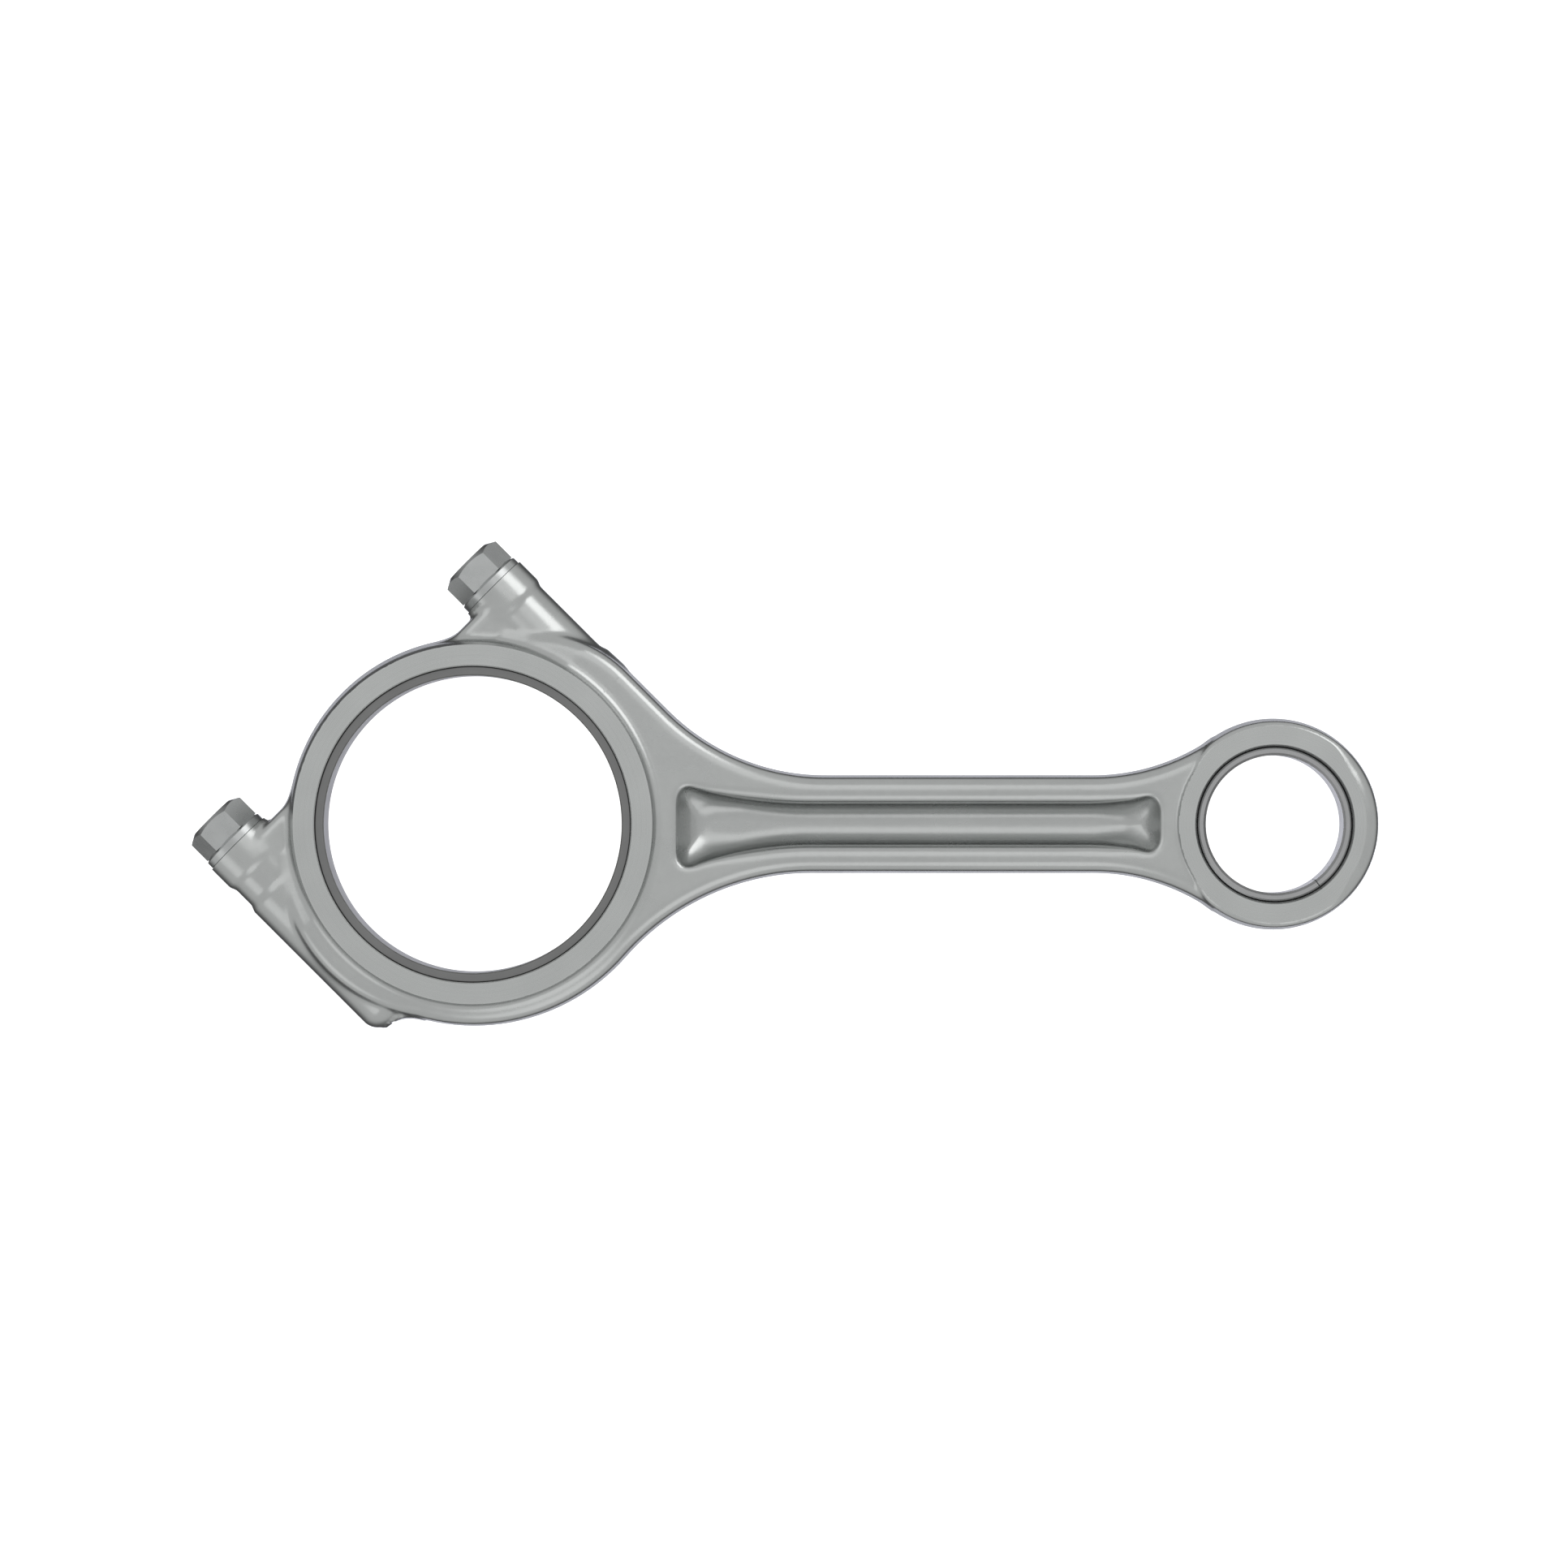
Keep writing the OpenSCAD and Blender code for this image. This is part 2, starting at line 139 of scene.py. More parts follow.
class ForgingSizes(bpy.types.PropertyGroup):
    """Sizes of the one forging that the rod and its cap are made from."""

    pitch: length("Mesh pitch", "Distance between the points of the forged surface", 1.0)
    draft: FloatProperty(name="Draft", description="Slope of the forged walls",
                         default=math.radians(4.5), subtype="ANGLE")
    flash_land: length("Flash land", "Half height of the trimmed land at the parting line", 1.0)
    wall: length("Side face wall", "Wall from the housing bore to the side face's rim", 6.8)
    wall_draft: length("Wall draft", "Widening of that wall down to the band", 0.6)
    boss_fillet: length("Boss fillet", "Fillet round the raised side face", 2.4)
    band_wall: length("Band wall", "Wall from the housing bore to the band's edge", 14.2)
    band_step: length("Band step", "Depth of the band below the side face", 4.0)
    edge_round: length("Edge rounding", "Rounding of the band's and the flanges' edges", 3.6)
    swell_start: length("Swell start", "Distance from the split where the band swells", 31)
    swell_inset: length("Lower swell inset", "Band's swelling inside the lower lug's side", 2.9)
    slope_start: length("Slope start", "Distance from the split where the band slopes", 14.7)
    slope_end: length("Slope end", "Distance from the split where the slope meets the web", 36)
    web_fillet: length("Web fillet", "Radius between the cap's web and its ring", 20)
    web_drop: length("Web edge drop", "Distance of the web's edge below the bolt seat", 1.9)
    web_round: length("Web rounding", "Rounding of the web's edges", 3.0)
    collar: length("Seat collar", "Length of the thick collar under a bolt seat", 7.7)
    waist_step: length("Waist step", "How much thinner the lug is below its collar", 0.9)
    waist_blend: length("Waist blend", "Length over which a lug changes its thickness", 3.0)
    upper_waist: length("Upper waist end", "Distance from the split, on the upper lug", 12)
    lower_waist: length("Lower waist end", "Distance from the split, on the lower lug", 32.5)
    lug_end: length("Lower lug end", "Length of the lower lug past the split", 26)
    lug_round: length("Lug rounding", "Rounding of the lower lug's end", 6)
    lug_fillet: length("Lug fillet", "Radius between the lower lug's end and the ring", 14)
    lug_blend: length("Lug blend", "How softly the lugs run into the webs and the band", 1.6)
    shank_w: length("Shank width", "Width of the shank at the parting line", 31.4)
    flange_step: length("Flange step", "Depth of the shank below the eye's face", 1.2)
    web_t: length("Shank web", "Thickness between the two pockets", 7.5)
    pocket_w: length("Pocket width", "Width of the shank's pockets", 13.2)
    pocket_fillet: length("Pocket fillet", "Fillet between a pocket's wall and floor", 5.5)
    end_fillet: length("End fillet", "Extra radius of that fillet at a pocket's ends", 3.5)
    end_wide: length("End fillet's length", "How far from an end that fillet is widest", 7)
    end_fade: length("End fillet's fade", "How far from an end that fillet is gone", 24)
    pocket_corner: length("Pocket corner", "Radius of the pocket's corners", 5)
    corner_depth: length("Corner depth", "Depth down to which the corners grow rounder", 9)
    side_slope: FloatProperty(name="Side slope", default=0.04, min=0, max=1,
                              description="Run of a pocket's side wall for each unit of depth")
    end_slope: FloatProperty(name="End slope", default=0.27, min=0, max=1,
                             description="Run of a pocket's end wall for each unit of depth")
    rim_end: length("Rim rounding at the ends", "Rounding of the rim at a pocket's ends", 1.0)
    land_big: length("Big-end land", "Land between the side face and the pocket", 6.2)
    land_small: length("Small-end land", "Land between the eye and the pocket", 1.2)
    flare_big: length("Big-end flare", "Length over which the pocket widens", 44.5)
    flare_upper: length("Upper flare", "Widening of the pocket towards the upper bolt", 6.9)
    flare_lower: length("Lower flare", "Widening of the pocket on the other side", 9.2)
    flare_small: length("Small-end flare", "Length over which the pocket widens", 25)
    flare_eye: length("Eye flare", "Widening of the pocket on each side at the eye", 3.4)
    sweep_upper: length("Upper sweep", "Radius of the rod's upper side at the big end", 71)
    sweep_lower: length("Lower sweep", "Radius of the rod's lower side at the big end", 79)
    sweep_eye: length("Eye sweep", "Radius between the shank and the eye", 67)
    eye_round: length("Eye rounding", "Rounding of the eye's edges", 2.0)
    eye_nose: length("Eye nose rounding", "Wider rounding at the eye's far end", 4.6)
    eye_step: length("Eye step", "Set-back of the eye's edge over the shank", 1.9)
    eye_fillet: length("Eye fillet", "Fillet where the shank meets the eye's face", 0.8)


class MachiningSizes(bpy.types.PropertyGroup):
    """Cuts that are made in the forging."""

    housing_chamfer: length("Housing chamfer", "Chamfer at the housing bore's mouths", 0.35)
    eye_chamfer: length("Eye chamfer", "Width of the chamfer at the eye's bore", 1.0)
    eye_lead: length("Eye lead-in", "Depth of the chamfer at the eye's bore", 2.5)
    spot_margin: length("Spot face margin", "How far a spot face runs past the bolt seat", 1.2)
    bolt_clearance: length("Bolt clearance", "Radial room round a bolt in the cap", 0.25)
    hole_chamfer: length("Hole chamfer", "Chamfer at the bolt holes' mouths", 0.5)
    tap_room: length("Tap room", "Room beyond the bolt's tip in the tapped hole", 2.0)
    lug_w: length("Notch width", "Width of the notch for a shell's lug", 5.3)
    lug_l: length("Notch length", "Length of the notch for a shell's lug", 6.15)
    lug_h: length("Notch depth", "Depth of the notch in the housing bore", 1.35)
    lug_offset: length("Notch offset", "Distance of the notch from the mid-plane", 10)
    grain: length("Fracture roughness", "Height of the broken face's grain", 0.35)
    grain_pitch: length("Fracture pitch", "Spacing of the points on the broken face", 0.6)


class BearingSizes(bpy.types.PropertyGroup):
    """Sizes of the bearing shells and the bush."""

    lining: length("Lining", "Thickness of the bearing metal", 0.5)
    shell_chamfer: length("Shell chamfer", "Chamfer at the edges of a shell", 0.4)
    bush_chamfer: length("Bush chamfer", "Chamfer at the mouths of the bush", 0.8)
    bush_edge: length("Bush edge", "Chamfer round the outside of the bush", 0.5)
    seam: length("Seam", "Width of the butt joint in the rolled bush", 0.25)
    seam_angle: FloatProperty(name="Seam angle", description="Direction of the butt joint",
                              default=math.radians(-54), subtype="ANGLE")


class BoltSizes(bpy.types.PropertyGroup):
    """Sizes of the cap bolts."""

    thread_d: length("Thread", "Outer diameter of the thread", 12)
    thread_pitch: length("Thread pitch", "Advance of the thread in one turn", 1.5)
    thread_gap: length("Thread clearance", "Radial room between bolt and tapped hole", 0.1)
    neck_relief: length("Neck relief", "How much thinner the neck is, on the radius", 0.5)
    head_af: length("Width across flats", "Width across the flats of the head", 19)
    head_top_d: length("Head flat", "Diameter of the flat on top of the hexagon", 15.8)
    flange_edge: length("Flange edge", "Thickness of the flange at its edge", 2.5)
    flange_slope: length("Flange slope", "Height of the flange's sloping top", 0.7)
    break_edge: length("Broken edge", "Rounding of the flange's and head's edges", 0.25)
    neck_bend: length("Neck bend", "Radius between the neck and the flange", 0.6)
    lower_turn: FloatProperty(name="Lower head turn", description="Turn of the lower head",
                              default=math.radians(4), subtype="ANGLE")


class FinishColours(bpy.types.PropertyGroup):
    """Colours of the finishes."""

    forged: colour("Forged", "Shot-blasted forged steel", (0.50, 0.51, 0.505))
    machined: colour("Machined", "Ground and bored steel", (0.53, 0.54, 0.535))
    fractured: colour("Fractured", "Grain of the broken joint face", (0.36, 0.36, 0.37))
    bolt: colour("Bolt", "Satin steel of the cap bolts", (0.50, 0.51, 0.51))
    shell_back: colour("Shell back", "Steel back of the bearing shells", (0.22, 0.22, 0.22))
    lining: colour("Lining", "Bearing metal", (0.26, 0.26, 0.255))
    bush: colour("Bush", "Rolled bush in the eye", (0.42, 0.42, 0.425))


class StageSizes(bpy.types.PropertyGroup):
    """Camera, floor and lamps."""

    camera_height: FloatProperty(name="Camera height", unit="LENGTH", default=3.2,
                                 description="Distance of the camera above the mid-plane")
    view_width: length("View width", "Width of the mid-plane that the camera takes in", 502.7)
    aim_x: length("Aim along", "Place of the view's centre along the rod", 99.3)
    aim_y: length("Aim across", "Place of the view's centre across the rod", 12.85)
    floor_colour: colour("Floor", "Colour of the floor", (0.86, 0.86, 0.87))
    floor_size: FloatProperty(name="Floor size", description="Width of the floor",
                              default=8.0, unit="LENGTH")


# ---------------------------------------------------------------- node trees


class Value:
    """A number in a node tree. Arithmetic on it adds Math nodes."""

    def __init__(self, nodes, socket):
        self.nodes, self.socket = nodes, socket

    def math(self, operation, *others):
        """A Math node's result for this number and the ones that follow it."""
        return self.nodes.value("ShaderNodeMath", {"operation": operation},
                                dict(enumerate((self, *others))))

    def __add__(self, other):
        return self.math("ADD", other)

    def __sub__(self, other):
        return self.math("SUBTRACT", other)

    def __rsub__(self, other):
        return self * -1 + other

    def __mul__(self, other):
        return self.math("MULTIPLY", other)

    def __truediv__(self, other):
        return self.math("DIVIDE", other)

    def __gt__(self, other):
        return self.math("GREATER_THAN", other)

    def __lt__(self, other):
        return self.math("LESS_THAN", other)

    __radd__, __rmul__ = __add__, __mul__

    def least(self, other):
        """The smaller of this number and the other."""
        return self.math("MINIMUM", other)

    def most(self, other):
        """The larger of this number and the other."""
        return self.math("MAXIMUM", other)


class Nodes:
    """A node tree that is written in Python."""

    def __init__(self, tree):
        self.tree = tree

    def add(self, kind, settings=None, inputs=None):
        """Adds a node, sets its settings and then the values or links of its sockets."""
        node = self.tree.nodes.new(kind)
        for name, setting in (settings or {}).items():
            if name == "stops":
                for place, (position, shade) in enumerate(setting):
                    stops = node.color_ramp.elements
                    stop = stops[place] if place < len(stops) else stops.new(position)
                    stop.position, stop.color = position, shade
            else:
                setattr(node, name, setting)
        for name, given in (inputs or {}).items():
            socket = node.inputs[name]
            if isinstance(given, Value):
                self.tree.links.new(given.socket, socket)
            elif isinstance(given, bpy.types.NodeSocket):
                self.tree.links.new(given, socket)
            else:
                socket.default_value = given
        return node

    def value(self, kind, settings=None, inputs=None, output=0):
        """Adds a node and gives one of its outputs as a number."""
        return Value(self, self.add(kind, settings, inputs).outputs[output])


def finish(name, base, roughness, detail):
    """A metal: detail(nodes, place) gives the relief and its depth, the shade and the gloss."""
    material = bpy.data.materials.new(name)
    material.use_nodes = True
    nodes = Nodes(material.node_tree)
    shader = material.node_tree.nodes["Principled BSDF"]
    place = nodes.add("ShaderNodeTexCoord").outputs["Object"]
    height, depth, shade, gloss = detail(nodes, place)
    lighter = [min(1, channel * 1.1) for channel in base]
    darker = [channel * 0.9 for channel in base]
    mixed = nodes.add("ShaderNodeMix", {"data_type": "RGBA"},
                      {0: shade, 6: (*darker, 1), 7: (*lighter, 1)})
    bump = nodes.add("ShaderNodeBump", None, {"Strength": 1, "Distance": depth, "Height": height})
    links = material.node_tree.links
    links.new(mixed.outputs[2], shader.inputs["Base Color"])
    links.new((gloss * 0.1 + (roughness - 0.05)).socket, shader.inputs["Roughness"])
    links.new(bump.outputs["Normal"], shader.inputs["Normal"])
    shader.inputs["Metallic"].default_value = 1
    return material


def noise(nodes, place, scale, detail=3.0, rough=0.5):
    """Noise from 0 to 1 in three dimensions."""
    return nodes.value("ShaderNodeTexNoise", None,
                       {"Vector": place, "Scale": scale, "Detail": detail, "Roughness": rough})


def rings(nodes, distance, scale):
    """Noise from 0 to 1 that changes with one distance, as the marks of a cutter do."""
    return nodes.value("ShaderNodeTexNoise", {"noise_dimensions": "1D"},
                       {"W": distance, "Scale": scale, "Detail": 2})


def parts_of(nodes, place):
    """The x, y and z of a place."""
    split = nodes.add("ShaderNodeSeparateXYZ", None, {0: place})
    return [Value(nodes, split.outputs[axis]) for axis in range(3)]


def forged_detail(nodes, place):
    """Shot-blasted skin: fine dents over slow waves, and blotches of scale."""
    grain = noise(nodes, place, 1400, 2)
    dents = noise(nodes, place, 420, 3, 0.6)
    blotches = noise(nodes, place, 38, 4)
    return grain * 0.4 + dents, 0.02 * MM, blotches * 0.6 + dents * 0.4, blotches


def machined_detail(nodes, place):
    """Rings that a cutter leaves round the nearer bore, on its faces and in its wall."""
    x, y, z = parts_of(nodes, place)
    away = x - (x > CENTRES * 0.6) * CENTRES
    ring = (away * away + y * y).math("SQRT") + z
    lay = rings(nodes, ring, 2600)
    stain = noise(nodes, place, 60, 2)
    return lay, 0.004 * MM, stain * 0.7 + lay * 0.3, lay


def fractured_detail(nodes, place):
    """Coarse bright grain of a broken face."""
    facets = nodes.value("ShaderNodeTexVoronoi", None, {"Vector": place, "Scale": 1500})
    coarse = noise(nodes, place, 700, 4, 0.7)
    return facets + coarse, 0.15 * MM, facets, coarse


def turned_detail(nodes, place):
    """Fine turning rings along a bolt, with slow blotches of the phosphate coat."""
    along = nodes.value("ShaderNodeVectorMath", {"operation": "DOT_PRODUCT"},
                        {0: place, 1: tuple(ALONG)}, "Value")
    lay = rings(nodes, along, 3000)
    coat = noise(nodes, place, 260, 3)
    return lay * 0.8 + coat * 0.2, 0.003 * MM, coat, coat


def bored_detail(nodes, place):
    """Fine rings of a bored lining."""
    lay = rings(nodes, parts_of(nodes, place)[2], 4000)
    wear = noise(nodes, place, 90, 3)
    return lay, 0.008 * MM, wear, wear


def finishes():
    """Every finish of the rod, made once and found by its name."""
    if "forged_skin" in bpy.data.materials:
        return bpy.data.materials
    colours = bpy.context.scene.rod_colours
    finish("forged_skin", colours.forged, 0.27, forged_detail)
    finish("machined_face", colours.machined, 0.26, machined_detail)
    finish("fracture_face", colours.fractured, 0.45, fractured_detail)
    finish("bolt_coat", colours.bolt, 0.28, turned_detail)
    finish("shell_back", colours.shell_back, 0.36, bored_detail)
    finish("lining_face", colours.lining, 0.32, bored_detail)
    finish("bush_face", colours.bush, 0.27, bored_detail)
    return bpy.data.materials


# ---------------------------------------------------------------- outlines


def arc(centre, radius, start, end, steps=24):
    """Points of an arc about a centre, between two angles in radians."""
    return [(centre[0] + radius * math.cos(a), centre[1] + radius * math.sin(a))
            for a in np.linspace(start, end, steps + 1)]


def split_point(u, v):
    """A point given along and across the bolts, as x and y."""
    return (u * ALONG.x + v * ACROSS.x, u * ALONG.y + v * ACROSS.y)


def swell_edge(size, out):
    """Edge of the band's swelling, along and across the bolts, from the split at out."""
    radius = HOUSING_R + size.band_wall
    start_v = math.sqrt(radius ** 2 - size.swell_start ** 2)
    centre = (out ** 2 - radius ** 2) / (2 * (out - start_v))
    end = math.atan2(start_v - centre, size.swell_start)
    return arc((0, centre), out - centre, math.pi / 2, end)


def rod_outline(size):
    """Outline of the forging at its parting line: shank, sweeps, band and swellings."""
    radius, half_w = HOUSING_R + size.band_wall, size.shank_w / 2
    swell_turn = math.acos(size.swell_start / radius)
    turn = -SPLIT_TURN
    upper = ((LUG_SIDE + size.sweep_upper - (half_w + size.sweep_upper) * math.cos(turn))
             / math.sin(turn), half_w + size.sweep_upper)
    low_y = half_w + size.sweep_lower
    low_x = math.sqrt((radius + size.sweep_lower) ** 2 - low_y ** 2)
    eye_y = half_w + size.sweep_eye
    eye_dx = math.sqrt((EYE_R + size.sweep_eye) ** 2 - eye_y ** 2)
    eye_x, eye_turn = CENTRES - eye_dx, math.atan2(eye_y, eye_dx)
    low_turn = math.atan2(low_y, low_x)
    high, low = swell_edge(size, LUG_SIDE), swell_edge(size, LUG_SIDE - size.swell_inset)
    return (
        arc(upper, size.sweep_upper, 1.5 * math.pi - turn, 1.5 * math.pi)
        + arc((eye_x, eye_y), size.sweep_eye, 1.5 * math.pi, 2 * math.pi - eye_turn)
        + [(CENTRES, 0)]
        + arc((eye_x, -eye_y), size.sweep_eye, eye_turn, math.pi / 2)
        + arc((low_x, -low_y), size.sweep_lower, math.pi / 2, math.pi - low_turn)
        + arc((0, 0), radius, -low_turn, SPLIT_TURN - swell_turn)
        + [split_point(u, -v) for u, v in low[::-1]]
        + [split_point(-u, -v) for u, v in low[1:]]
        + arc((0, 0), radius, SPLIT_TURN - math.pi + swell_turn,
              SPLIT_TURN - math.pi - swell_turn)
        + [split_point(-u, v) for u, v in high[::-1]]
    )


def web_outline(edge, out, ring_r, fillet):
    """Outline of a web in the split's frame: it ends at edge and runs into the ring."""
    across = math.sqrt((ring_r + fillet) ** 2 - (edge + fillet) ** 2)
    end = math.pi + math.atan2(across, edge + fillet)
    return [(0, 0)] + arc((edge + fillet, across), fillet, end, math.pi) + [(edge, out), (0, out)]


def flare(x0, x1, half_w, rise, side, steps=24):
    """An edge that leaves the pocket's straight side at x0 and widens by rise at x1."""
    radius = ((x1 - x0) ** 2 + rise ** 2) / (2 * rise)
    return [(x0 + d, side * (half_w + radius - math.sqrt(radius ** 2 - d ** 2)))
            for d in np.linspace(0, x1 - x0, steps + 1)]


def rounded(before, point, after, radius):
    """Points that round the corner at point."""
    p, a, b = Vector(point), Vector(before), Vector(after)
    p_a, p_b = (a - p).normalized(), (b - p).normalized()
    half = p_a.angle(p_b) / 2
    centre = p + (p_a + p_b).normalized() * radius / math.sin(half)
    first, last = (p + way * radius / math.tan(half) - centre for way in (p_a, p_b))
    start = math.atan2(first.y, first.x)
    return arc(centre, radius, start, start - first.angle_signed(last), 8)


def pocket_outline(size):
    """Outline of the pockets in the shank."""
    half_w, corner = size.pocket_w / 2, size.pocket_corner
    left = HOUSING_R + size.wall + size.land_big
    right = CENTRES - EYE_R - size.land_small
    from_left, to_right = left + size.flare_big, right - size.flare_small
    edges = [flare(from_left, left, half_w, size.flare_lower, -1),
             flare(from_left, left, half_w, size.flare_upper, 1),
             flare(to_right, right, half_w, size.flare_eye, 1),
             flare(to_right, right, half_w, size.flare_eye, -1)]
    clear = [[p for p in edge if abs(p[0] - edge[-1][0]) > 2 * corner] for edge in edges]
    lower_left, upper_left, upper_right, lower_right = (edge[-1] for edge in edges)
    return (
        clear[0] + rounded(clear[0][-1], lower_left, upper_left, corner)
        + rounded(lower_left, upper_left, clear[1][-1], corner) + clear[1][::-1]
        + clear[2] + rounded(clear[2][-1], upper_right, lower_right, corner)
        + rounded(upper_right, lower_right, clear[3][-1], corner) + clear[3][::-1]
    )


# ---------------------------------------------------------------- distance fields


def outline_distance(points, x, y):
    """Distance from a closed outline in the plane, negative inside it."""
    nearest = np.full(np.broadcast(x, y).shape, np.inf)
    inside = np.zeros(nearest.shape, bool)
    for (ax, ay), (bx, by) in zip(points, points[1:] + points[:1]):
        dx, dy = bx - ax, by - ay
        if dx == dy == 0:
            continue
        share = np.clip(((x - ax) * dx + (y - ay) * dy) / (dx * dx + dy * dy), 0, 1)
        nearest = np.minimum(nearest, (x - ax - share * dx) ** 2 + (y - ay - share * dy) ** 2)
        if dy:
            inside ^= ((ay > y) != (by > y)) & (x < ax + (y - ay) * dx / dy)
    return np.where(inside, -1, 1) * np.sqrt(nearest)


def met(a, b, radius):
    """Common part of two fields, with its edge rounded."""
    over = np.hypot(np.maximum(radius + a, 0), np.maximum(radius + b, 0))
    return np.minimum(-radius, np.maximum(a, b)) + over


def filleted(a, b, radius):
    """Both of two fields, with a fillet where they meet."""
    return -met(-a, -b, radius)


def blended(a, b, size):
    """Both of two fields, run softly into each other."""
    share = np.clip(0.5 + (b - a) / (2 * size), 0, 1)
    return b + (a - b) * share - size * share * (1 - share)


def eased(start, end, value):
    """From 0 at start to 1 at end, with soft ends."""
    share = np.clip((value - start) / (end - start), 0, 1)
    return share * share * (3 - 2 * share)


def pocket_distance(size, outline, x, y, level, top):
    """The pockets that leave the shank's web: rounded floors and sloping end walls."""
    left = HOUSING_R + size.wall + size.land_big
    right = CENTRES - EYE_R - size.land_small
    depth = top - level
    walls = outline_distance(outline, x, y) + size.side_slope * depth
    ends = np.maximum(left - x, x - right) + size.end_slope * depth
    corner = 0.8 * (size.pocket_corner + np.clip(depth, 0, size.corner_depth))
    sides = met(walls, ends, corner)
    near_end = 1 - eased(size.end_wide, size.end_fade, np.minimum(x - left, right - x))
    return met(sides, size.web_t / 2 - level, size.pocket_fillet + size.end_fillet * near_end)


def lug_distance(size, side, u, v, z):
    """A round bolt lug with its collar, its waist and, on the lower one, its blind end."""
    waist_end = size.upper_waist if side > 0 else size.lower_waist
    collar = -SEAT - size.collar
    waist = (eased(waist_end - size.waist_blend, waist_end, -u)
             - eased(collar - size.waist_blend, collar, -u))
    round_wall = np.hypot(v - side * BOLT_AXIS, z) - SEAT_R + size.waist_step * waist
    far_end = u - (3 * MM if side > 0 else size.lug_end)
    stock = SEAT - 2 * MM - u
    return np.maximum(met(round_wall, far_end, size.lug_round), stock)


def forging_distance(size):
    """The whole forging before it is machined, as a distance field of x, y and z."""
    outline, pocket = rod_outline(size), pocket_outline(size)
    slope = math.tan(size.draft)
    ring_r = HOUSING_R + size.wall
    band_r, band_h = HOUSING_R + size.band_wall, BIG_H - size.band_step
    shank_h = EYE_H - size.flange_step
    web_h = SEAT_R - size.waist_step
    web_edge = -SEAT - size.web_drop
    cap_web = web_outline(web_edge, BOLT_AXIS, ring_r, size.web_fillet)
    lug_web = web_outline(size.lug_end, BOLT_AXIS, band_r, size.lug_fillet)
    face_stock, eye_stock = MM, 0.15 * MM
    boss_slope, crisp = 0.1, 0.4 * MM
    rim_left, rim_right = 30 * MM, 22 * MM
    nose_turns = math.radians(33), math.radians(56)
    shank_turns = math.radians(128), math.radians(150)

    def distance(x, y, z):
        u, v = x * ALONG.x + y * ALONG.y, x * ACROSS.x + y * ACROSS.y
        level = np.abs(z)
        land = slope * np.maximum(level - size.flash_land, 0)
        run = np.clip((x - ring_r) / (CENTRES - EYE_R - ring_r), 0, 1)
        fall = np.clip((-size.slope_start - u) / (size.slope_end - size.slope_start), 0, None)
        top = band_h + (shank_h - band_h) * run - (band_h - web_h) * fall
        flange = met(outline_distance(outline, x, y) + land, level - top, size.edge_round)
        past_flare = HOUSING_R + size.wall + size.land_big
        rim = (eased(past_flare, past_flare + rim_left, x)
               * eased(0, rim_right, CENTRES - EYE_R - size.land_small - x))
        rim = size.rim_end + (size.edge_round - size.rim_end) * rim
        flange = met(flange, -pocket_distance(size, pocket, x, y, level, top), rim)
        flange = np.maximum(flange, -size.slope_end - u)
        webs = met(outline_distance(cap_web, -u, np.abs(v)) + land, level - web_h,
                   size.web_round)
        lug_fill = met(outline_distance(lug_web, u, -v) + land, level - web_h, size.web_round)
        webs = np.minimum(webs, lug_fill)
        for side in (-1, 1):
            webs = blended(webs, lug_distance(size, side, u, v, z), size.lug_blend)
        body = blended(flange, webs, size.lug_blend)
        fallen = np.clip((BIG_H - level) / size.band_step, 0, 1)
        wall = np.hypot(x, y) - ring_r - size.wall_draft * fallen - boss_slope * (BIG_H - level)
        body = filleted(body, np.maximum(wall, level - BIG_H - face_stock), size.boss_fillet)
        around = np.abs(np.arctan2(y, x - CENTRES))
        nose = 1 - eased(*nose_turns, around)
        joined = eased(*shank_turns, around)
        eye_round = size.eye_round + (size.eye_nose - size.eye_round) * nose
        eye_round = eye_round - (size.eye_round - crisp) * joined
        eye_wall = np.hypot(x - CENTRES, y) - EYE_R + land + size.eye_step * joined
        eye = met(eye_wall, level - EYE_H - eye_stock, eye_round)
        return filleted(body, eye, size.eye_fillet)

    return distance


# ---------------------------------------------------------------- meshes


def net_of(distance, low, high, pitch):
    """Points and outward quads of a closed net round the inside of a distance field."""
    axes = [np.arange(start, end + pitch, pitch) for start, end in zip(low, high)]
    inside = distance(*np.meshgrid(*axes, indexing="ij", sparse=True)) < 0
    held = np.zeros([n - 1 for n in inside.shape], np.int8)
    for corner in np.ndindex(2, 2, 2):
        held += inside[tuple(slice(c, c - 1 or None) for c in corner)]
    crossed = (held > 0) & (held < 8)
    number = np.cumsum(crossed).reshape(crossed.shape) - 1
    cells = np.argwhere(crossed)
    points = np.stack([axes[a][cells[:, a]] + pitch / 2 for a in range(3)], 1)
    quads, steps = [], np.eye(3, dtype=int)
    for axis in range(3):
        near = np.delete(inside, -1, axis)
        edges = np.argwhere(near != np.delete(inside, 0, axis))
        b, c = steps[(axis + 1) % 3], steps[(axis + 2) % 3]
        ring = np.stack([number[tuple((edges - off).T)] for off in (b + c, c, 0 * b, b)], 1)
        leaves = near[tuple(edges.T)]
        quads += [ring[leaves], ring[~leaves][:, ::-1]]
    return points, np.concatenate(quads)


def settled(points, distance, pitch):
    """The points moved onto the surface where the field is zero."""
    step = 0.01 * pitch
    for _ in range(2):
        base = distance(*points.T)
        slope = np.stack([distance(*(points + step * way).T) - base for way in np.eye(3)], 1)
        slope /= step
        move = base / np.maximum((slope ** 2).sum(1), 0.1)
        points = points - np.clip(move, -pitch, pitch)[:, None] * slope
    return points


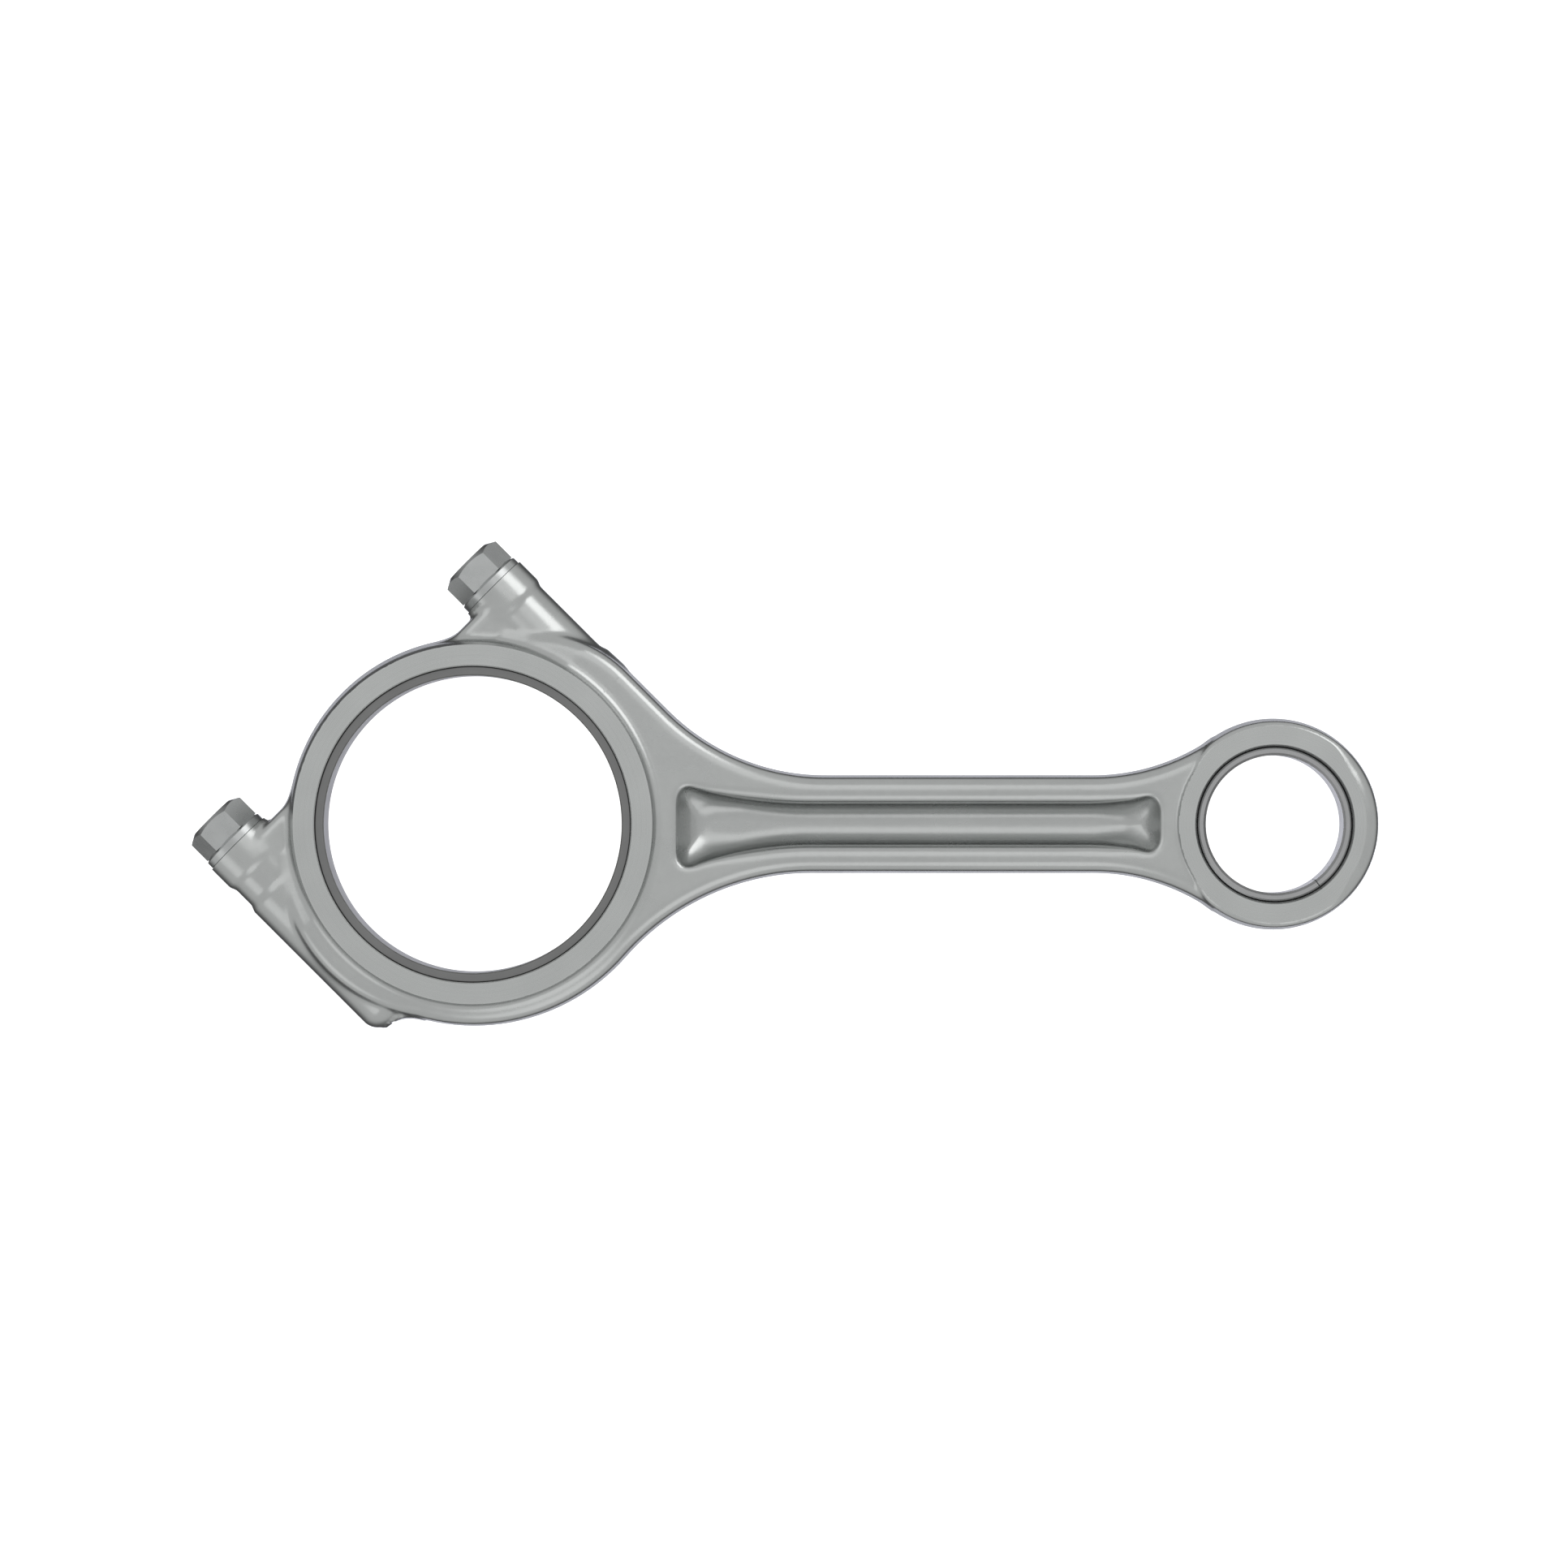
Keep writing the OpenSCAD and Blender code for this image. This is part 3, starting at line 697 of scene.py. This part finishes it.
def evened(points, quads):
    """Each point moved halfway to the middle of its neighbours."""
    ends = np.concatenate([quads[:, [i, (i + 1) % 4]] for i in range(4)])
    count = np.bincount(ends[:, 0], minlength=len(points))
    sums = [np.bincount(ends[:, 0], points[ends[:, 1], a], len(points)) for a in range(3)]
    return (points + np.stack(sums, 1) / count[:, None]) / 2


def mesh_object(name, points, faces, materials):
    """A new object at the origin, with its place in its mesh."""
    mesh = bpy.data.meshes.new(name)
    mesh.from_pydata([tuple(p) for p in points], [], [tuple(f) for f in faces])
    for material in materials:
        mesh.materials.append(material)
    made = bpy.data.objects.new(name, mesh)
    bpy.context.scene.collection.objects.link(made)
    return made


def frozen(piece):
    """The piece with its modifiers turned into plain mesh."""
    graph = bpy.context.evaluated_depsgraph_get()
    made = bpy.data.meshes.new_from_object(piece.evaluated_get(graph))
    piece.modifiers.clear()
    piece.data = made
    return piece


def carve(piece, cutter, operation="DIFFERENCE"):
    """Combines a piece with a cutter, whose finish goes onto the faces that it makes."""
    change = piece.modifiers.new("carve", "BOOLEAN")
    change.operation, change.solver, change.object = operation, "MANIFOLD", cutter
    change.material_mode = "TRANSFER"
    frozen(piece)
    bpy.data.objects.remove(cutter)
    if not piece.data.polygons:
        raise RuntimeError(f"{piece.name} was lost when it was cut")
    return piece


def lathe(name, profile, material, place=None, steps=192):
    """A closed solid of revolution. The profile's points are (radius, height), and its first
    and last lie on the axis. place(x, y, z) puts it in the rod's frame."""
    angles = np.linspace(0, 2 * math.pi, steps, endpoint=False)
    points, turns, faces = [], [], []
    for radius, height in profile:
        ring = [(radius * math.cos(a), radius * math.sin(a), height) for a in angles]
        ring = ring if radius > 0 else [(0, 0, height)]
        turns.append([len(points) + k % len(ring) for k in range(steps + 1)])
        points += ring
    for near, far in zip(turns, turns[1:]):
        for k in range(steps):
            faces.append(list(dict.fromkeys([near[k], near[k + 1], far[k + 1], far[k]])))
    if place:
        points = [place(*p) for p in points]
    made = mesh_object(name, points, faces, [material])
    face_outwards(made)
    return made


def face_outwards(piece):
    """Points every face of a closed mesh away from its inside."""
    work = bmesh.new()
    work.from_mesh(piece.data)
    bmesh.ops.recalc_face_normals(work, faces=work.faces)
    if work.calc_volume(signed=True) < 0:
        bmesh.ops.reverse_faces(work, faces=work.faces)
    work.to_mesh(piece.data)
    work.free()


def block(name, low, high, material, place=None):
    """A rectangular cutter between two corners."""
    corners = [(x, y, z) for x in (low[0], high[0]) for y in (low[1], high[1])
               for z in (low[2], high[2])]
    faces = [(0, 1, 3, 2), (4, 6, 7, 5), (0, 4, 5, 1), (2, 3, 7, 6), (0, 2, 6, 4), (1, 5, 7, 3)]
    made = mesh_object(name, [place(*c) for c in corners] if place else corners, faces, [material])
    face_outwards(made)
    return made


def shade(piece, angle, forged=None):
    """Smooth shading with sharp edges past an angle and round every change of finish.
    Faces of the forged finish stay smooth among themselves."""
    work = bmesh.new()
    work.from_mesh(piece.data)
    for face in work.faces:
        face.smooth = True
    for edge in work.edges:
        if len(edge.link_faces) == 2:
            kinds = [face.material_index for face in edge.link_faces]
            bent = edge.calc_face_angle(0) > angle and kinds[0] != forged
            edge.smooth = not (bent or kinds[0] != kinds[1])
    work.to_mesh(piece.data)
    work.free()


def on_bolt(side):
    """Gives the function that puts a point on a bolt's axis, with z from the split to the rod."""
    def place(x, y, z):
        return Vector((0, 0, 1)) * -x + ACROSS * (side * BOLT_AXIS + y) + ALONG * z
    return place


def on_eye(x, y, z):
    """Puts a point on the small end's axis."""
    return Vector((x + CENTRES, y, z))


def in_split(u, v, z):
    """Puts a point given along and across the bolts in the rod's frame."""
    return ALONG * u + ACROSS * v + Vector((0, 0, z))


# ---------------------------------------------------------------- forging and machining

HOLE_STEPS, HEAD_STEPS = 96, 144


def bore_profile(radius, half, chamfer, lead):
    """Profile of a cutter for a bore with a chamfer of some width and depth at each mouth."""
    reach = half + lead
    out = radius + 2 * chamfer
    return [(0, -reach), (out, -reach), (radius, lead - half), (radius, half - lead),
            (out, reach), (0, reach)]


def fracture_cutter(side, cut, material):
    """Everything on one side of the broken joint, as a cutter with a grained face."""
    rng = np.random.default_rng(7)
    reach_v, reach_z = LUG_SIDE + 6 * MM, BIG_H + 3 * MM
    v, z = np.meshgrid(np.arange(-reach_v, reach_v, cut.grain_pitch),
                       np.arange(-reach_z, reach_z, cut.grain_pitch), indexing="ij")
    relief = np.zeros(v.shape)
    for wave in (9 * MM, 5 * MM, 2.6 * MM, 1.5 * MM):
        for _ in range(3):
            heading, phase = rng.uniform(0, 2 * math.pi, 2)
            way = v * math.cos(heading) + z * math.sin(heading)
            relief += wave * np.sin(way * 2 * math.pi / wave + phase)
    relief = cut.grain * relief / np.abs(relief).max()
    rows, columns = v.shape
    far, widening = side * 0.5, 8
    grid = np.arange(rows * columns).reshape(rows, columns)
    points = [in_split(*p) for p in zip(relief.ravel(), v.ravel(), z.ravel())]
    points += [in_split(far, widening * v_far, z_far) for v_far, z_far in zip(v.ravel(), z.ravel())]
    faces = [quad for lift in (0, rows * columns) for quad in
             np.stack([grid[:-1, :-1], grid[1:, :-1], grid[1:, 1:], grid[:-1, 1:]], -1)
             .reshape(-1, 4) + lift]
    rim = np.concatenate([grid[:, 0], grid[-1, 1:], grid[-2::-1, -1], grid[0, -2:0:-1]])
    ahead = np.roll(rim, -1)
    faces += list(np.stack([rim, ahead, ahead + rows * columns, rim + rows * columns], 1))
    made = mesh_object("fracture", points, faces, [material])
    face_outwards(made)
    return made


def machine(piece, cut, metal):
    """Grinds the side faces, bores both ends and faces the bolt seats."""
    far, stock = 0.5, 5 * MM
    eye_left = CENTRES - EYE_R - 2 * MM
    spot_r, spot_top = SEAT_R + cut.spot_margin, SEAT - 8 * MM
    for side in (-1, 1):
        for left, height in ((-far, BIG_H), (eye_left, EYE_H)):
            low, high = sorted((side * height, side * (height + stock)))
            carve(piece, block("face", (left, -far, low), (far, far, high), metal))
        spot = [(0, SEAT), (spot_r, SEAT), (spot_r, spot_top), (0, spot_top)]
        carve(piece, lathe("spot", spot, metal, on_bolt(side), HOLE_STEPS))
    housing = bore_profile(HOUSING_R, BIG_H, cut.housing_chamfer, cut.housing_chamfer)
    eye = bore_profile(BUSH_R, EYE_H, cut.eye_chamfer, cut.eye_lead)
    carve(piece, lathe("bore", housing, metal))
    carve(piece, lathe("bore", eye, metal, on_eye))


def notch(piece, cut, side, metal):
    """Cuts the notch that takes a bearing shell's lug."""
    middle, past = side * cut.lug_offset, 2 * MM
    start, end = sorted((-side * past, side * cut.lug_l))
    low = (start, HOUSING_R - past, middle - cut.lug_w / 2)
    high = (end, HOUSING_R + cut.lug_h, middle + cut.lug_w / 2)
    carve(piece, block("notch", low, high, metal, in_split))


def bolt_holes(rod, cap, bolt, cut, metal):
    """Drills the cap for its bolts, and drills and taps the rod."""
    hole_r = bolt.thread_d / 2
    root = thread_root(bolt)
    clear_r, chamfer = hole_r + cut.bolt_clearance, cut.hole_chamfer
    past, mouth_past, mouth_depth, mouth_wider = 4 * MM, 2 * MM, 1.3 * MM, 0.3 * MM
    hole = [(0, SEAT - MM), (clear_r + chamfer + MM, SEAT - MM), (clear_r, SEAT + chamfer),
            (clear_r, past), (0, past)]
    mouth = [(0, -mouth_past), (hole_r + mouth_past, -mouth_past), (hole_r + mouth_wider, 0),
             (root, mouth_depth), (0, mouth_depth)]
    for side in (-1, 1):
        place = on_bolt(side)
        carve(cap, lathe("hole", hole, metal, place, HOLE_STEPS))
        carve(rod, threaded_rod("tap", bolt, hole_r, root + bolt.thread_gap, -3 * MM,
                                BOLT_TIP + cut.tap_room, metal, place))
        carve(rod, lathe("mouth", mouth, metal, place, HOLE_STEPS))


# ---------------------------------------------------------------- threads, by Geometry Nodes

STEPS_AROUND = 48
ROWS_PER_TURN = 8
THREAD_DEPTH = 0.61  # of the pitch


def thread_root(bolt):
    """Radius at the root of a thread with no clearance."""
    return bolt.thread_d / 2 - THREAD_DEPTH * bolt.thread_pitch


def thread_tree():
    """Geometry Nodes for a thread along Z: a net whose rows follow the helix, closed at both
    ends. It fades in over Lead at its ends, and its last turn is chamfered."""
    tree = bpy.data.node_groups.new("helical_thread", "GeometryNodeTree")
    sizes = ("Pitch", "Crest", "Root", "Start", "End", "Lead")
    kinds = dict.fromkeys(sizes, "Float") | {"Rows": "Int", "Finish": "Material"}
    for name, kind in kinds.items():
        tree.interface.new_socket(name, in_out="INPUT", socket_type="NodeSocket" + kind)
    tree.interface.new_socket("Geometry", in_out="OUTPUT", socket_type="NodeSocketGeometry")
    nodes = Nodes(tree)
    given = nodes.add("NodeGroupInput").outputs
    pitch, crest, root, start, end, lead = (Value(nodes, given[name]) for name in sizes)
    grid = nodes.add("GeometryNodeMeshGrid", None,
                     {"Size X": 1, "Size Y": 1, "Vertices X": STEPS_AROUND + 1,
                      "Vertices Y": given["Rows"]})
    place = nodes.add("GeometryNodeInputPosition").outputs[0]
    x, y, _ = parts_of(nodes, place)
    turn = x + 0.5
    row = ((y + 0.5) * (Value(nodes, given["Rows"]) - 1)).math("ROUND")
    wound = row / ROWS_PER_TURN
    off_crest = (wound.math("FRACT") - 0.5).math("ABSOLUTE")
    flank_steepness, crest_flat = 3.2, 0.3
    ridge = 1 - (off_crest * flank_steepness - crest_flat).most(0).least(1)
    height = start - pitch + (wound + turn) * pitch
    low_end = ((height - start) / lead).most(0).least(1)
    high_end = ((end - height) / lead).most(0).least(1)
    radius = root + (crest - root) * ridge * low_end.least(high_end)
    radius = radius.least(root + (end - height))
    between_ends = (height > start) * (height < end)
    radius = radius * between_ends
    height = height.most(start).least(end)
    angle = turn * (2 * math.pi)
    moved = nodes.add("ShaderNodeCombineXYZ", None,
                      {0: radius * angle.math("COSINE"), 1: radius * angle.math("SINE"),
                       2: height}).outputs[0]
    mesh = nodes.add("GeometryNodeSetPosition", None,
                     {"Geometry": grid.outputs["Mesh"], "Position": moved})
    merged = nodes.add("GeometryNodeMergeByDistance", None,
                       {"Geometry": mesh.outputs[0], "Distance": 0.01 * MM})
    real = nodes.add("GeometryNodeRealizeInstances", None, {0: merged.outputs[0]})
    coated = nodes.add("GeometryNodeSetMaterial", None,
                       {"Geometry": real.outputs[0], "Material": given["Finish"]})
    nodes.add("NodeGroupOutput", None, {"Geometry": coated.outputs[0]})
    return tree


def threaded_rod(name, bolt, crest, root, start, end, material, place):
    """A threaded cylinder on a bolt's axis, made by the thread tree."""
    tree = bpy.data.node_groups.get("helical_thread") or thread_tree()
    made = mesh_object(name, [], [], [])
    change = made.modifiers.new("thread", "NODES")
    change.node_group = tree
    pitch = bolt.thread_pitch
    given = {"Pitch": pitch, "Crest": crest, "Root": root, "Start": start, "End": end,
             "Lead": pitch * 0.8, "Rows": int((end - start) / pitch + 3) * ROWS_PER_TURN + 1,
             "Finish": material}
    for item in tree.interface.items_tree:
        if item.in_out == "INPUT":
            change[item.identifier] = given[item.name]
    frozen(made)
    for vertex in made.data.vertices:
        vertex.co = place(*vertex.co)
    face_outwards(made)
    return made


# ---------------------------------------------------------------- pieces


def claim(piece, body, node):
    """Ties a finished piece to its body and hides the CAD node it stands for."""
    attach(piece, body)
    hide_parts(node)


class RodOperator:
    """What every operator of the rod shares."""

    bl_options = {"REGISTER", "UNDO"}


class ROD_OT_forging(RodOperator, bpy.types.Operator):
    """Make the forging, machine it and break the cap off it"""

    bl_idname = "rod.forging"
    bl_label = "Rod and cap"

    def execute(self, context):
        size, cut = context.scene.rod_forging, context.scene.rod_machining
        kinds = finishes()
        metal, broken = kinds["machined_face"], kinds["fracture_face"]
        distance = forging_distance(size)
        edge = 3 * size.pitch
        low = [CAD_BOX[0][axis] - edge for axis in range(3)]
        high = [CAD_BOX[1][axis] + edge for axis in range(3)]
        points, quads = net_of(distance, low, high, size.pitch)
        points = settled(points, distance, size.pitch)
        for _ in range(2):
            points = settled(evened(points, quads), distance, size.pitch)
        rod = mesh_object("rod_forging", points, quads, [kinds["forged_skin"]])
        machine(rod, cut, metal)
        cap = bpy.data.objects.new("cap_forging", rod.data.copy())
        context.scene.collection.objects.link(cap)
        carve(rod, fracture_cutter(-1, cut, broken))
        carve(cap, fracture_cutter(1, cut, broken))
        bolt_holes(rod, cap, context.scene.rod_bolts, cut, metal)
        notch(rod, cut, 1, metal)
        notch(cap, cut, -1, metal)
        for piece, body, node in ((rod, "rod", "rod_body"), (cap, "cap", "big_end_cap")):
            shade(piece, math.radians(30), forged=0)
            claim(piece, body, node)
        return {"FINISHED"}


def swept(name, profiles, start, end, place, steps=128):
    """Closed layers swept about Z between two angles. profiles lists (points, material) pairs,
    each point a (radius, height)."""
    points, faces, kinds = [], [], []
    for index, (profile, _) in enumerate(profiles):
        first, n = len(points), len(profile)
        for angle in np.linspace(start, end, steps + 1):
            points += [place(r * math.cos(angle), r * math.sin(angle), h) for r, h in profile]
        for k in range(steps):
            for i in range(n):
                j = (i + 1) % n
                faces.append([first + k * n + i, first + (k + 1) * n + i,
                              first + (k + 1) * n + j, first + k * n + j])
        faces.append([first + i for i in range(n)])
        faces.append([first + steps * n + i for i in reversed(range(n))])
        kinds += [index] * (n * steps + 2)
    made = mesh_object(name, points, faces, [material for _, material in profiles])
    made.data.polygons.foreach_set("material_index", kinds)
    face_outwards(made)
    return made


class ROD_OT_shells(RodOperator, bpy.types.Operator):
    """Make the two bearing shells, each a steel back with a lining"""

    bl_idname = "rod.shells"
    bl_label = "Bearing shells"

    def execute(self, context):
        size, cut = context.scene.rod_bearings, context.scene.rod_machining
        kinds = finishes()
        back, lining = kinds["shell_back"], kinds["lining_face"]
        middle = CRANKPIN_R + size.lining
        c = size.shell_chamfer
        inner = [(CRANKPIN_R, -SHELL_H + c), (CRANKPIN_R + c, -SHELL_H), (middle, -SHELL_H),
                 (middle, SHELL_H), (CRANKPIN_R + c, SHELL_H), (CRANKPIN_R, SHELL_H - c)]
        outer = [(middle, -SHELL_H), (HOUSING_R - c, -SHELL_H), (HOUSING_R, -SHELL_H + c),
                 (HOUSING_R, SHELL_H - c), (HOUSING_R - c, SHELL_H), (middle, SHELL_H)]
        gap, sunk = 0.15 * MM, 1.5 * MM
        for side, body, node in ((1, "rod", "bearing_shell_rod"), (-1, "cap", "bearing_shell_cap")):
            start = SPLIT_TURN - side * math.pi / 2
            piece = swept("shell_in_" + body, [(outer, back), (inner, lining)],
                          start, start + math.pi, lambda x, y, z: Vector((x, y, z)))
            near, far = sorted((0.02 * MM * side, side * (cut.lug_l - gap)))
            middle_z, half_w = side * cut.lug_offset, cut.lug_w / 2 - gap
            tang = block("tang", (near, HOUSING_R - sunk, middle_z - half_w),
                         (far, HOUSING_R + cut.lug_h - gap, middle_z + half_w), back, in_split)
            carve(piece, tang, "UNION")
            shade(piece, math.radians(25))
            claim(piece, body, node)
        return {"FINISHED"}


class ROD_OT_bush(RodOperator, bpy.types.Operator):
    """Make the rolled bush with its butt joint"""

    bl_idname = "rod.bush"
    bl_label = "Small-end bush"

    def execute(self, context):
        size = context.scene.rod_bearings
        c, outer_c = size.bush_chamfer, size.bush_edge
        profile = [(PIN_R, -BUSH_H + c), (PIN_R + c, -BUSH_H), (BUSH_R - outer_c, -BUSH_H),
                   (BUSH_R, -BUSH_H + outer_c), (BUSH_R, BUSH_H - outer_c),
                   (BUSH_R - outer_c, BUSH_H), (PIN_R + c, BUSH_H), (PIN_R, BUSH_H - c)]
        half = size.seam / 2 / PIN_R
        piece = swept("rolled_bush", [(profile, finishes()["bush_face"])],
                      size.seam_angle + half, size.seam_angle + 2 * math.pi - half, on_eye, 192)
        shade(piece, math.radians(25))
        claim(piece, "rod", "small_end_bush")
        return {"FINISHED"}


def bolt_head(size, place, turn, metal):
    """Hexagon with a chamfered top, over a flange with a sloping top."""
    half_af, corner = size.head_af / 2, size.head_af / math.sqrt(3)
    base = SEAT - size.flange_edge - size.flange_slope
    angles = [math.radians(60 * i) + turn + math.pi / 6 for i in range(6)]
    hexagon = [(corner * math.cos(a), corner * math.sin(a)) for a in angles]
    points = [place(x, y, h) for h in (base + 0.3 * MM, HEAD_TOP) for x, y in hexagon]
    faces = [[i, (i + 1) % 6, 6 + (i + 1) % 6, 6 + i] for i in range(6)]
    faces += [list(range(6)), list(range(6, 12))]
    head = mesh_object("head", points, faces, [metal])
    face_outwards(head)
    top_r = size.head_top_d / 2
    rise = (corner + MM - top_r) * math.tan(math.radians(30))
    cone = [(0, base + MM), (corner + MM, base + MM), (corner + MM, HEAD_TOP + rise),
            (top_r, HEAD_TOP), (0, HEAD_TOP)]
    carve(head, lathe("cone", cone, metal, place, HEAD_STEPS), "INTERSECT")
    e = size.break_edge
    flange = [(0, base), (half_af, base), (FLANGE_R - e, SEAT - size.flange_edge),
              (FLANGE_R, SEAT - size.flange_edge + e), (FLANGE_R, SEAT - e), (FLANGE_R - e, SEAT),
              (0, SEAT)]
    return carve(head, lathe("flange", flange, metal, place, HEAD_STEPS), "UNION")


class ROD_OT_bolts(RodOperator, bpy.types.Operator):
    """Make the two flanged cap bolts with their threads"""

    bl_idname = "rod.bolts"
    bl_label = "Cap bolts"

    def execute(self, context):
        size = context.scene.rod_bolts
        metal = finishes()["bolt_coat"]
        crest = size.thread_d / 2 - size.thread_gap
        root = thread_root(size) - size.thread_gap
        neck, bend = size.thread_d / 2 - size.neck_relief, size.neck_bend
        bends = [(neck + bend * (1 - math.sin(a)), SEAT + bend * (1 - math.cos(a)))
                 for a in np.linspace(0, math.pi / 2, 5)]
        profile = [(0, SEAT - MM), (neck + bend, SEAT - MM), *bends, (neck, -3.5 * MM),
                   (root, -2 * MM), (root, 0), (0, 0)]
        for side, name, turn in ((1, "upper", 0), (-1, "lower", size.lower_turn)):
            place = on_bolt(side)
            piece = bolt_head(size, place, turn, metal)
            piece.name = "bolt_" + name
            carve(piece, lathe("neck", profile, metal, place, HOLE_STEPS), "UNION")
            carve(piece, threaded_rod("thread", size, crest, root, -1.5 * MM, BOLT_TIP,
                                      metal, place), "UNION")
            shade(piece, math.radians(28))
            claim(piece, "bolt_" + name, "cap_bolt_" + name)
        return {"FINISHED"}


# ---------------------------------------------------------------- stage

# Height of the direction from straight down (0) to straight up (1), glow, and tint of its blue
SKY = [(0.0, 1.15, 1.1), (0.01, 0.85, 1.1), (0.03, 0.12, 1.03), (0.09, 0.05, 1.0),
       (0.18, 0.24, 1.0), (0.25, 0.47, 0.995), (0.33, 0.66, 0.995), (0.5, 0.70, 0.995),
       (0.75, 0.69, 0.995), (1.0, 0.70, 0.995)]
# Name, heading and lean in degrees, width in metres, and strength of each lamp
LAMPS = [("key", 45, 57, 1.9, 1.3), ("upper", 82, 26, 2.2, 0.33), ("lower", 290, 54, 2.5, 0.38),
         ("left", 150, 48, 2.2, 0.36), ("low_left", 225, 66, 1.7, 0.35)]
LAMP_DISTANCE = 3.0


def lamp(name, aim, heading, lean, width, strength):
    """A soft round lamp over the rod. heading is its direction seen from above, and lean its
    angle from straight up, both in degrees."""
    turn, fall = math.radians(heading), math.radians(lean)
    way = Vector((math.sin(fall) * math.cos(turn), math.sin(fall) * math.sin(turn),
                  math.cos(fall)))
    data = bpy.data.lights.new(name, "AREA")
    data.shape, data.size = "DISK", width
    data.energy = strength * (math.pi * width / 2) ** 2
    made = bpy.data.objects.new(name, data)
    made.location = aim + way * LAMP_DISTANCE
    made.rotation_euler = way.to_track_quat("Z", "Y").to_euler()
    bpy.context.scene.collection.objects.link(made)


def studio_world():
    """A soft studio: bright above, fading to dark below the horizon."""
    world = bpy.data.worlds.new("studio")
    world.use_nodes = True
    nodes = Nodes(world.node_tree)
    way = nodes.add("ShaderNodeTexCoord").outputs["Generated"]
    height = parts_of(nodes, way)[2] * 0.5 + 0.5
    stops = [(place, (glow * 0.99, glow, glow * tint, 1)) for place, glow, tint in SKY]
    ramp = nodes.add("ShaderNodeValToRGB", {"stops": stops}, {"Fac": height})
    background = world.node_tree.nodes["Background"]
    world.node_tree.links.new(ramp.outputs["Color"], background.inputs["Color"])
    return world


def camera_above(stage, aim):
    """The camera, straight above aim and looking down."""
    data = bpy.data.cameras.new("camera")
    data.lens = data.sensor_width * stage.camera_height / stage.view_width
    data.clip_end = 50
    camera = bpy.data.objects.new("camera", data)
    camera.location = aim + Vector((0, 0, stage.camera_height))
    bpy.context.scene.collection.objects.link(camera)
    return camera


def pale_floor(stage, aim):
    """A floor just under the rod, which glows a little and doesn't show in its metal."""
    half = stage.floor_size / 2
    drop = CAD_BOX[0][2] - 0.05 * MM
    corners = [(aim.x + x * half, aim.y + y * half, drop)
               for x, y in ((-1, -1), (1, -1), (1, 1), (-1, 1))]
    paint = bpy.data.materials.new("floor_paint")
    paint.use_nodes = True
    inputs = paint.node_tree.nodes["Principled BSDF"].inputs
    inputs["Base Color"].default_value = (*stage.floor_colour, 1)
    inputs["Roughness"].default_value = 0.9
    inputs["Specular IOR Level"].default_value = 0.1
    inputs["Emission Color"].default_value = (1, 1, 1, 1)
    inputs["Emission Strength"].default_value = 1
    floor = mesh_object("floor", corners, [(0, 1, 2, 3)], [paint])
    floor.visible_glossy = False


class ROD_OT_stage(RodOperator, bpy.types.Operator):
    """Make the camera, the pale floor and the soft lamps"""

    bl_idname = "rod.stage"
    bl_label = "Stage"

    def execute(self, context):
        stage, scene = context.scene.rod_stage, context.scene
        aim = Vector((stage.aim_x, stage.aim_y, 0))
        scene.camera = camera_above(stage, aim)
        pale_floor(stage, aim)
        scene.world = studio_world()
        scene.view_settings.view_transform = "Standard"
        for name, *setting in LAMPS:
            lamp(name, aim, *setting)
        return {"FINISHED"}


class ROD_PT_panel(bpy.types.Panel):
    """Buttons and sizes for the rod's finished pieces"""

    bl_label = "Connecting rod"
    bl_space_type = "VIEW_3D"
    bl_region_type = "UI"
    bl_category = "Connecting rod"

    def draw(self, context):
        for operator in OPERATORS:
            self.layout.operator(operator.bl_idname)
        for name, _ in GROUPS:
            box = self.layout.box()
            group = getattr(context.scene, name)
            for size in group.bl_rna.properties:
                if size.identifier not in ("rna_type", "name"):
                    box.prop(group, size.identifier)


GROUPS = [
    ("rod_forging", ForgingSizes),
    ("rod_machining", MachiningSizes),
    ("rod_bearings", BearingSizes),
    ("rod_bolts", BoltSizes),
    ("rod_colours", FinishColours),
    ("rod_stage", StageSizes),
]
OPERATORS = [ROD_OT_stage, ROD_OT_forging, ROD_OT_shells, ROD_OT_bush, ROD_OT_bolts]


def register():
    for name, group in GROUPS:
        bpy.utils.register_class(group)
        setattr(bpy.types.Scene, name, PointerProperty(type=group))
    for kind in [*OPERATORS, ROD_PT_panel]:
        bpy.utils.register_class(kind)


def unregister():
    for kind in [ROD_PT_panel, *reversed(OPERATORS)]:
        bpy.utils.unregister_class(kind)
    for name, group in reversed(GROUPS):
        delattr(bpy.types.Scene, name)
        bpy.utils.unregister_class(group)


def main():
    register()
    bpy.ops.rod.stage()
    bpy.ops.rod.forging()
    bpy.ops.rod.shells()
    bpy.ops.rod.bush()
    bpy.ops.rod.bolts()


if __name__ == "__main__":
    main()
